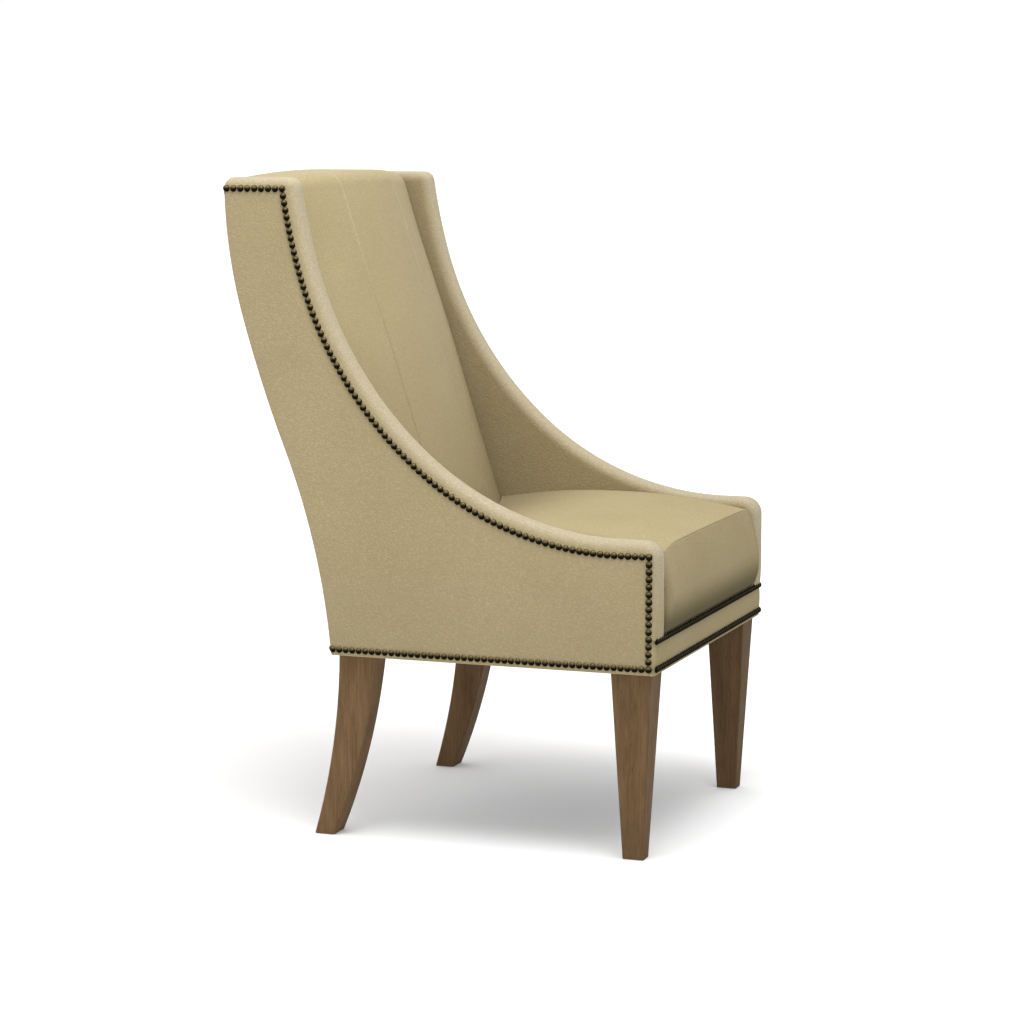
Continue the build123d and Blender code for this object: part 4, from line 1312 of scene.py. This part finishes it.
@dataclass
class ArmAndWing:
    """One arm and its wing: leather over thin padding, rolled round the plywood's edge."""

    hand: Hand
    roll: float = 16.0
    foot_rolls: tuple[float, float] = (5.0, 8.0)
    foot_height: float = 75.0
    nail_reaches: tuple[float, float, float] = (14.0, 22.0, 17.0)
    outer_puff: float = 0.7
    crown: float = 0.6
    leather: float = 1.9
    tuck: Span = (-1.5, 1.5)
    rear_round: float = 11.0
    # Painted highlight along the rolled edge.
    pale_front: Span = (20.0, 0.0)
    pale_width: float = 10.0
    pale_foot: float = 130.0
    shade_length: float = 75.0
    along: int = 300

    def nail_reach(self, shares: Array, outline: Run) -> Array:
        """How far inside the edge the nail line lies, by even steps from front to scoop and on to the wing.

        Args:
            shares: Places along the edge.
            outline: The edge.

        Returns:
            The distance at each place.
        """
        depth, height = outline.at(shares).T
        front, scoop, top = self.nail_reaches
        arm = step(depth, (FORM.arm_front, FORM.arm_front + 26))
        wing = step(height, (FORM.wing_top - 26, FORM.wing_top - 2))
        return (front + (scoop - front) * arm) * (1 - wing) + top * wing

    def spine(self) -> Run:
        """The hidden rear edge of the inner face: along the bottom, up the back posts and over their tops.

        Returns:
            The edge, from the front to the rear.
        """
        rear = FORM.back_top[0]
        return Run.through(
            (FORM.arm_front + 24, FORM.cover_bottom + 4),
            (FORM.post_front - 2, FORM.cover_bottom + 8),
            (float(FORM.post_line(FORM.post_top)) - 2, FORM.post_top),
            (rear - 1, FORM.post_top),
        )

    def sections(self) -> Array:
        """Rings of the arm, one at each place along its edge.

        A ring starts under the outside panel, comes out at the nail line, goes over the roll by two quarter
        circles, runs along the inner face to the spine and comes back round the plywood's edge. A point is
        the edge's point moved in by the inset, then drawn towards the spine by the ring's share; the wing's
        top goes down by a quarter circle at its rear end.

        Returns:
            Points in metres: place along the edge, place on the ring, coordinate.
        """
        outline = FORM.wing_outline()
        last = 1 - 1.2 * self.rear_round / outline.length
        shares = np.concatenate([np.linspace(0, last, self.along - 12), np.linspace(last, 1, 13)[1:]])
        edge = outline.at(shares)
        inward = outline.inward(shares)
        past = np.clip(edge[:, 0] - outline.points[-1, 0] + self.rear_round, 0, None) * (shares >= last)
        drop = self.rear_round - np.sqrt(self.rear_round**2 - 0.95 * past**2)
        edge[:, 1] -= drop
        spine = self.spine().at(shares)
        reach = (self.nail_reach(shares, outline) - drop)[:, None]
        out, inn, roll = FORM.outer, FORM.arm_inner, self.roll
        low = 1 - step(edge[:, 1:], (FORM.arm_bottom, FORM.arm_bottom + self.foot_height))
        low = low * (edge[:, :1] < FORM.arm_level)
        inner, outer = (roll - (roll - foot) * low for foot in self.foot_rolls)
        flap = np.linspace(0, 1, 7)[None, :-1]
        flap_d = reach + 5 + (np.minimum(outer, reach - 1) - reach - 5) * flap
        tucked = step(flap_d - reach, self.tuck)
        flap_x = out - self.leather * tucked + self.outer_puff * np.sin(np.pi * flap) * (1 - tucked)
        quarter = np.linspace(0, np.pi / 2, 10)
        first_d = outer - outer * np.sin(quarter)[None, :]
        first_d = np.minimum(first_d, flap_d[:, -1:] - 0.4)
        first_x = out - outer + outer * np.cos(quarter)[None, :]
        across = np.linspace(0, 1, 5)[1:-1]
        crown_d = (-self.crown * np.sin(np.pi * across))[None, :]
        crown_x = out - outer + (inn - out + outer + inner) * across[None, :]
        second_d = inner - inner * np.cos(quarter)[None, :]
        second_x = inn + inner - inner * np.sin(quarter)[None, :]
        rule = np.linspace(0, 1, 26)[1:] ** 1.2
        back = np.linspace(1, 0, 12)
        ply = FORM.ply_inner - 0.5
        end_d = np.array([[9.5, 9.5, roll + 1]])
        end_x = np.array([[ply, out - self.leather, out - self.leather - 0.05]])
        stacks = [
            [flap_d, first_d, crown_d, second_d, inner + 0 * rule[None, :], roll + 0 * back[None, :], end_d],
            [flap_x, first_x, crown_x, second_x, inn + 0 * rule[None, :], ply + 0 * back[None, :], end_x],
        ]
        depth, x = (
            np.concatenate([np.broadcast_to(part, (self.along, part.shape[1])) for part in stack], axis=1)
            for stack in stacks
        )
        rolled = depth.shape[1] - len(rule) - len(back) - end_d.shape[1]
        ruled = np.concatenate([np.zeros(rolled), rule, back, np.zeros(end_d.shape[1])])[None, :]
        place = edge[:, None, :] + inward[:, None, :] * depth[..., None]
        place = place * (1 - ruled[..., None]) + spine[:, None, :] * ruled[..., None]
        return FORM.place(self.hand.value * x, place[..., 0], place[..., 1])

    def build(self, finish: Finish) -> bpy.types.Object:
        """Builds and dresses the arm and wing.

        Args:
            finish: Its leather.

        Returns:
            The piece.
        """
        name = self.hand.prefix
        piece = closed_form(name + "arm_and_wing", self.sections())
        spots = spots_of(piece)
        x, depth, height = spots.T
        # Painted highlight along the rolled edge, a little stronger at the front and fading at the front's
        # foot.
        front = step(depth, self.pale_front)
        foot = front * (1 - step(height, (FORM.arm_bottom, FORM.arm_bottom + self.pale_foot)))
        highlight_share = bell(FORM.wing_outline().distance(spots[:, 1:]), self.pale_width)
        Wear.PALE.store(piece, (0.6 + 0.1 * front - 0.7 * foot) * highlight_share)
        # Painted shade on the inner face, deepest next to the back, and a weaker painted shadow round the
        # nails.
        inside = step(np.abs(x), (FORM.arm_inner + 12, FORM.arm_inner + 2))
        before = FORM.back_face(height, FORM.cushion_half) - depth
        shade = 0.25 * np.exp(-np.clip(before, 0, None) / self.shade_length)
        Wear.CREASE.store(piece, np.maximum(0.35 * nail_shade(spots), inside * shade))
        return dressed(piece, finish, name + "arm_cover", name + "arm_pad")


@dataclass
class OutsidePanel:
    """The leather of one outside face, from the nail line to the lower and rear edges."""

    hand: Hand
    puff: float = 1.3
    ease: float = 14.0
    edge_roll: float = 5.0
    # Painted shade, darker towards the bottom.
    dim: float = 0.12
    dim_height: float = 230.0
    leather: float = 1.8
    along: int = 260
    across: int = 60

    def grid(self) -> Array:
        """The panel ruled from its nail line to its lower and rear edge.

        It stands out by the puff, times one less an exponential of the distance from the nail line and the
        same of that from the edge, and goes in by a quarter circle along the lower and rear edge.

        Returns:
            Points in metres: place along the lines, place between them, coordinate.
        """
        bottom = FORM.body_bottom
        upper = Run.through(FORM.nail_line(bottom).points, FORM.back_top)
        lower = Run.through((FORM.nail_front, bottom), FORM.back(0, bottom, FORM.nail_top))
        shares = np.linspace(0, 1, self.along)
        first = upper.at(shares)
        second = lower.at(shares)
        bend = np.linspace(0, 1, self.across)
        rule = (1 - (1 - bend) ** 1.8) * 0.5 + smooth(bend) * 0.5
        place = first[:, None, :] * (1 - rule[None, :, None]) + second[:, None, :] * rule[None, :, None]
        span = np.linalg.norm(second - first, axis=1)[:, None]
        from_nails = span * rule[None, :]
        from_edge = span * (1 - rule[None, :])
        lift = self.puff * (1 - np.exp(-from_nails / self.ease)) * (1 - np.exp(-from_edge / self.ease))
        x = FORM.outer + lift - drawn_in(from_edge, self.edge_roll)
        return FORM.place(self.hand.value * x, place[..., 0], place[..., 1])

    def build(self, finish: Finish) -> bpy.types.Object:
        """Builds and dresses the panel.

        Args:
            finish: Its leather.

        Returns:
            The piece.
        """
        name = self.hand.prefix
        piece = sheet_form(name + "outside_leather", self.grid(), (self.hand.value, 0, 0), self.leather)
        spots = spots_of(piece)
        # Painted shade: darker towards the bottom of the panel, and a painted shadow round the nails.
        low = 1 - step(spots[:, 2], (FORM.body_bottom, FORM.body_bottom + self.dim_height))
        Wear.CREASE.store(piece, np.maximum(nail_shade(spots), self.dim * low))
        return dressed(piece, finish, name + "outside_panel")


@dataclass
class OutsideBack:
    """The leather of the outside back, along the back's arcs from the lower edge to the upper nail row."""

    half: float = 294.4
    puff: float = 1.4
    ease: float = 18.0
    leather: float = 1.8

    def grid(self) -> Array:
        """The back's profile carried straight across, folded in at the bottom.

        It stands out by the puff, times one less an exponential of the distance from each edge.

        Returns:
            Points in metres: place up the profile, place across, coordinate.
        """
        line = Run.through(FORM.back(0, FORM.body_bottom + 3, FORM.nail_top))
        shares = np.concatenate([np.linspace(0, 0.02, 4)[:-1], np.linspace(0.02, 1, 110)])
        place = line.at(shares)
        outward = line.inward(shares)
        x = np.linspace(-self.half, self.half, 90)
        side = 1 - np.exp(-(self.half - np.abs(x)) / self.ease)
        rise = (1 - np.exp(-shares * 40)) * (1 - np.exp(-(1 - shares) * 40))
        lift = self.puff * rise[:, None] * side[None, :]
        depth = place[:, :1] + outward[:, :1] * lift
        height = place[:, 1:] + outward[:, 1:] * lift
        fold = np.array([[-6.0, 0.0], [-1.5, 0.5]])
        lip_s = line.points[0, 0] + fold[:, :1] + 0 * x[None, :]
        lip_z = FORM.body_bottom + fold[:, 1:] + 0 * x[None, :]
        depth = np.concatenate([lip_s, depth])
        height = np.concatenate([lip_z, height])
        return FORM.place(x[None, :], depth, height)

    def build(self, finish: Finish) -> bpy.types.Object:
        """Builds and dresses the outside back."""
        piece = sheet_form("outside_back_leather", self.grid(), (0, 1, 0), self.leather)
        return dressed(piece, finish, "outside_back_cover")


@dataclass
class FrontBand:
    """The leather band under the seat, round both front corners, folded in at the bottom."""

    corner: float = 8.0
    puff: float = 1.2
    fold: float = 4.0
    lip: float = 6.0
    leather: float = 1.8

    def grid(self) -> Array:
        """The band's height profile carried round its plan of straight sides, quarter turns and a front.

        The profile goes in under the body by a quarter circle, stands out between the nail rows by a half
        sine and ends a little inwards under the seat.

        Returns:
            Points in metres: place along the plan, place up the profile, coordinate.
        """
        out, turn = FORM.outer, self.corner
        quarter = arc((-out + turn, turn), turn, 180, 270, 6)
        ends = (-out, FORM.nail_front), (out, FORM.nail_front)
        plan = Run.through(ends[0], quarter, quarter[::-1] * (-1, 1), ends[1])
        shares = np.linspace(0, 1, 420)
        place = plan.at(shares)
        outward = plan.inward(shares)
        bottom, top = FORM.body_bottom, FORM.band_top
        bend = np.linspace(0, np.pi / 2, 7)
        fold = self.fold
        low_in = np.concatenate([[self.lip], fold - fold * np.sin(bend)])
        low_z = np.concatenate([[bottom], bottom + fold - fold * np.cos(bend)])
        high_z = np.linspace(bottom + fold, top, 26)[1:]
        between = np.clip((high_z - FORM.nail_low) / (FORM.nail_high - FORM.nail_low), 0, 1)
        high_in = -self.puff * np.sin(np.pi * between) + 0.4 * step(high_z - FORM.nail_high, (2, 6))
        inset = np.concatenate([low_in, high_in])[None, :]
        height = np.concatenate([low_z, high_z])[None, :]
        x = place[:, :1] - outward[:, :1] * inset
        depth = place[:, 1:] - outward[:, 1:] * inset
        return FORM.place(x, depth, height)

    def build(self, finish: Finish) -> bpy.types.Object:
        """Builds and dresses the band.

        Args:
            finish: Its leather.

        Returns:
            The piece.
        """
        piece = sheet_form("front_band_leather", self.grid(), (0, -1, 0), self.leather)
        spots = spots_of(piece)
        rows = np.abs(spots[:, 2:] - (FORM.nail_low, FORM.nail_high)).min(axis=1)
        Wear.CREASE.store(piece, NAIL_SHADE * bell(rows, NAIL_SHADE_REACH))
        return dressed(piece, finish, "front_band")


# Nails
@dataclass
class NailRows:
    """The dome nails: each a small cap on the leather, set head to head along its row."""

    radius: float = 5.45
    dome: float = 4.0
    lift: float = 0.6
    pitch: float = 11.1
    top_pitch: float = 11.8
    rear_inset: float = 5.5
    rear_corner: float = 9.6
    corner: float = 8.0
    skirt: float = 1.4
    tilt: float = 0.035
    spread: float = 0.012
    # Painted shade over the heads of the front and back rows.
    front_dull: float = 0.5
    back_dull: float = 0.3
    sides: int = 10
    seed: int = 7

    def cap(self) -> tuple[Array, list[Array]]:
        """One nail head: rings of a ball's cap from the apex to the rim, then a short skirt.

        Returns:
            Its points in millimetres, and its triangles and quads.
        """
        ball = (self.radius**2 + self.dome**2) / (2 * self.dome)
        widest = math.asin(self.radius / ball)
        down = np.array([0.36, 0.7, 1.0]) * widest
        turn = np.arange(self.sides) * 2 * np.pi / self.sides
        reach = np.append(ball * np.sin(down), self.radius)[:, None]
        level = np.append(self.dome - ball * (1 - np.cos(down)), -self.skirt)[:, None] + self.lift
        rings = np.stack([reach * np.cos(turn), reach * np.sin(turn), level + 0 * turn], axis=-1)
        points = np.concatenate([[[0.0, 0.0, self.dome + self.lift]], rings.reshape(-1, 3)])
        quads = grid_quads(len(reach), self.sides, True) + 1
        ring = np.arange(self.sides) + 1
        fan = np.stack([np.zeros(self.sides, int), ring, np.roll(ring, -1)], axis=1)
        return points, [fan, quads]

    def set_out(
        self, name: str, seats: Array, outward: Sequence[float], finish: Finish, head_shade: float = 0.0
    ) -> bpy.types.Object:
        """Sets nails on their seats, each a little tilted and of its own size.

        Args:
            name: The name of the CAD node it stands for.
            seats: Places of the heads, in metres.
            outward: The way the heads face.
            finish: The nails' finish.
            head_shade: How dark the whole head is and how far its dark rim climbs, from 0 to 1.

        Returns:
            The piece.
        """
        chance = np.random.default_rng(self.seed + len(name))
        count = len(seats)
        normal = np.asarray(outward, float) + chance.normal(0, self.tilt, (count, 3))
        normal /= np.linalg.norm(normal, axis=1, keepdims=True)
        guide = np.where(np.abs(normal[:, 2:]) < 0.9, np.array([[0.0, 0, 1]]), np.array([[1.0, 0, 0]]))
        first = np.cross(guide, normal)
        first /= np.linalg.norm(first, axis=1, keepdims=True)
        second = np.cross(normal, first)
        axes = np.stack([first, second, normal], axis=1)
        points, faces = self.cap()
        size = 1 + chance.normal(0, self.spread, (count, 1, 1))
        heads = seats[:, None, :] + np.einsum("kj,njc->nkc", points * MM, axes) * size
        start = (np.arange(count) * len(points))[:, None, None]
        every = [face for kind in faces for face in (kind[None] + start).reshape(-1, kind.shape[1]).tolist()]
        piece = add_mesh(name.replace("nails", "nail_heads"), heads.reshape(-1, 3), every, merge=False)
        # Painted shade: darker towards each head's rim, and over the whole head by its shade share.
        level = (points[:, 2] - self.lift) / self.dome
        rim = smooth(1.1 + 1.8 * head_shade - 2.2 * level)
        Wear.CREASE.store(piece, np.tile(np.maximum(rim, head_shade), count))
        return dressed(piece, finish, name)

    def side_seats(self, hand: Hand) -> Array:
        """The seats of one side: column and scoop, bottom row and wing top.

        Args:
            hand: The side.

        Returns:
            Places of the heads, in metres.
        """
        line = FORM.nail_line(FORM.nail_low)
        foot = line.points[0]
        column = Run(line.points[:2])
        rise = Run(line.points[1:])
        bottom = Run.through(foot, (FORM.back_foot[0] - self.rear_inset, FORM.nail_low))
        top = Run.through(rise.points[-1], (FORM.back_top[0] - self.rear_inset, FORM.nail_top))
        rows = [column.evenly(self.pitch), rise.evenly(self.pitch)[1:]]
        rows += [bottom.evenly(self.pitch)[1:], top.evenly(self.top_pitch)[1:]]
        place = np.concatenate(rows)
        return FORM.place(hand.value * FORM.outer, place[:, 0], place[:, 1])

    def row(self, half: float, depth: float, height: float) -> Array:
        """The seats of a straight row across the chair."""
        count = round(2 * half / self.pitch)
        return FORM.place(np.linspace(-half, half, count + 1), depth, height)

    def build(self, finish: Finish) -> None:
        """Builds and dresses every row.

        Args:
            finish: The nails' finish.
        """
        for hand in Hand:
            self.set_out(hand.prefix + "side_nails", self.side_seats(hand), (hand.value, 0, 0), finish)
        front, rear = FORM.outer - self.corner, FORM.outer - self.rear_corner
        for name, height in (("front_upper_nails", FORM.nail_high), ("front_lower_nails", FORM.nail_low)):
            self.set_out(name, self.row(front, 0.0, height), (0, -1, 0), finish, self.front_dull)
        upper, lower = ((0, 1, 0), FORM.back_top), ((0, 1, -0.08), FORM.back_foot)
        for name, (outward, place) in (("back_top_nails", upper), ("back_bottom_nails", lower)):
            self.set_out(name, self.row(rear, *place), outward, finish, self.back_dull)


# Frame, legs and surroundings
@dataclass
class WoodenFrame:
    """The CAD nodes that stay: legs, hidden frame, webbing, fasteners and glides."""

    finishes: dict[str, Finish] = field(
        default_factory=lambda: {
            "leg_wood": LegWood(),
            "frame_wood": RawWood(),
            "plywood": RawWood("plywood", (0.60, 0.44, 0.27), (0.42, 0.28, 0.16), 900.0),
            "foam": Foam(),
            "webbing": Weave(),
            "dust_cloth": Weave("dust_cloth", (0.018, 0.018, 0.018), 500.0),
            "steel": PlatedSteel(),
            "glide_plastic": GlideNylon(),
            "leather": Leather(),
            "antique_brass": AntiqueBrass(),
        }
    )

    def dress(self, frame: dict[str, Any]) -> None:
        """Gives every CAD node the finish of its slot.

        Args:
            frame: The part's frame, with its nodes and its record.
        """
        slots = {part["node"]: part["material_slot"] for part in frame["record"]["subparts"]}
        for name, node in frame["nodes"].items():
            node.data.materials.clear()
            node.data.materials.append(self.finishes[slots[name]].material())
        LOG.info("%d CAD nodes dressed", len(slots))


@dataclass
class Studio:
    """White surroundings, soft light and the camera at the photograph's place."""

    stand: tuple[float, float, float] = (-4.4858, -1.6467, 1.1264)
    yaw: float = 20.035
    pitch: float = -7.592
    lens: float = 103.915
    floor_half: float = 60.0
    floor_glow: tuple[float, float] = (0.16, 0.55)
    sky_axis: tuple[float, float, float] = (0.25, 0.75, 0.6)
    sky_span: tuple[float, float] = (-0.1, 0.36)
    sky_light: tuple[float, float] = (0.40, 1.02)
    lamp_place: tuple[float, float, float] = (-0.9, -0.5, 3.4)
    lamp_aim: tuple[float, float, float] = (0, 0, 0.6)
    lamp_size: float = 2.0
    lamp_power: float = 110.0

    @staticmethod
    def put(name: str, data: Any, place: Sequence[float], way: Vector) -> bpy.types.Object:
        """Adds a camera or a lamp.

        Args:
            name: The object's name.
            data: The camera or the lamp.
            place: Where it stands.
            way: The way that it looks.

        Returns:
            The object, linked to the scene.
        """
        thing = bpy.data.objects.new(name, data)
        thing.location = place
        thing.rotation_euler = way.to_track_quat("-Z", "Y").to_euler()
        bpy.context.scene.collection.objects.link(thing)
        return thing

    def camera(self) -> None:
        """The camera, turned by its yaw from +X and its pitch."""
        data = bpy.data.cameras.new("photo_camera")
        data.lens = self.lens
        data.sensor_width = 36.0
        data.clip_end = 200.0
        yaw, pitch = math.radians(self.yaw), math.radians(self.pitch)
        way = Vector((math.cos(pitch) * math.cos(yaw), math.cos(pitch) * math.sin(yaw), math.sin(pitch)))
        bpy.context.scene.camera = self.put("photo_camera", data, self.stand, way)

    def lamp(self) -> None:
        """A square soft light from above that looks at the chair."""
        data = bpy.data.lights.new("top_light", "AREA")
        data.shape = "SQUARE"
        data.size = self.lamp_size
        data.energy = self.lamp_power
        self.put("top_light", data, self.lamp_place, Vector(self.lamp_aim) - Vector(self.lamp_place))

    def floor(self) -> None:
        """A wide pale floor that glows more with distance, so that it stays white far from the lamp."""
        half = self.floor_half
        corners = np.array([[-half, -half, 0], [half, -half, 0], [half, half, 0], [-half, half, 0]])
        floor = add_mesh("floor", corners, [[0, 1, 2, 3]], merge=False)
        kit = Recipe("pale_floor")
        far = kit.node("ShaderNodeVectorMath", {"operation": "LENGTH"}, {0: kit.place()}).wire("Value")
        near, away = ((level,) * 3 for level in self.floor_glow)
        glow = kit.ramp((far - 0.8) / 3.0, [(0.0, near), (1.0, away)])
        look = kit.finish(
            Base_Color=(0.80, 0.80, 0.80),
            Roughness=0.9,
            Specular_IOR_Level=0.0,
            Emission_Color=glow,
            Emission_Strength=1.0,
        )
        floor.data.materials.append(look)

    def world(self) -> None:
        """A white sky that dims by an even step along a slanted axis, towards the near side and the front."""
        sky = bpy.data.worlds.new("white_studio")
        sky.use_nodes = True
        tree = sky.node_tree
        shade = tree.nodes["Background"]
        where = tree.nodes.new("ShaderNodeTexCoord")
        along = tree.nodes.new("ShaderNodeVectorMath")
        along.operation = "DOT_PRODUCT"
        along.inputs[1].default_value = self.sky_axis
        fade = tree.nodes.new("ShaderNodeMapRange")
        fade.interpolation_type = "SMOOTHSTEP"
        limits = (*self.sky_span, *self.sky_light)
        for name, value in zip(("From Min", "From Max", "To Min", "To Max"), limits):
            fade.inputs[name].default_value = value
        tree.links.new(where.outputs["Generated"], along.inputs[0])
        tree.links.new(along.outputs["Value"], fade.inputs["Value"])
        tree.links.new(fade.outputs["Result"], shade.inputs["Strength"])
        shade.inputs["Color"].default_value = (1, 1, 1, 1)
        bpy.context.scene.world = sky

    def build(self) -> None:
        """Sets camera, floor, sky, lamp and the plain view of colours."""
        self.camera()
        self.floor()
        self.world()
        self.lamp()
        bpy.context.scene.view_settings.view_transform = "Standard"


def main() -> None:
    """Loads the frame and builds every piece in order."""
    logging.basicConfig(level=logging.INFO, format="%(name)s: %(message)s")
    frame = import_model()
    Studio().build()
    WoodenFrame().dress(frame)
    leather, matt = Leather(), MattLeather()
    SeatCushion().build(matt)
    BackCushion().build(leather)
    for hand in Hand:
        ArmAndWing(hand=hand).build(leather)
        OutsidePanel(hand=hand).build(leather)
    OutsideBack().build(leather)
    FrontBand().build(matt)
    NailRows().build(AntiqueBrass())


if __name__ == "__main__":
    main()
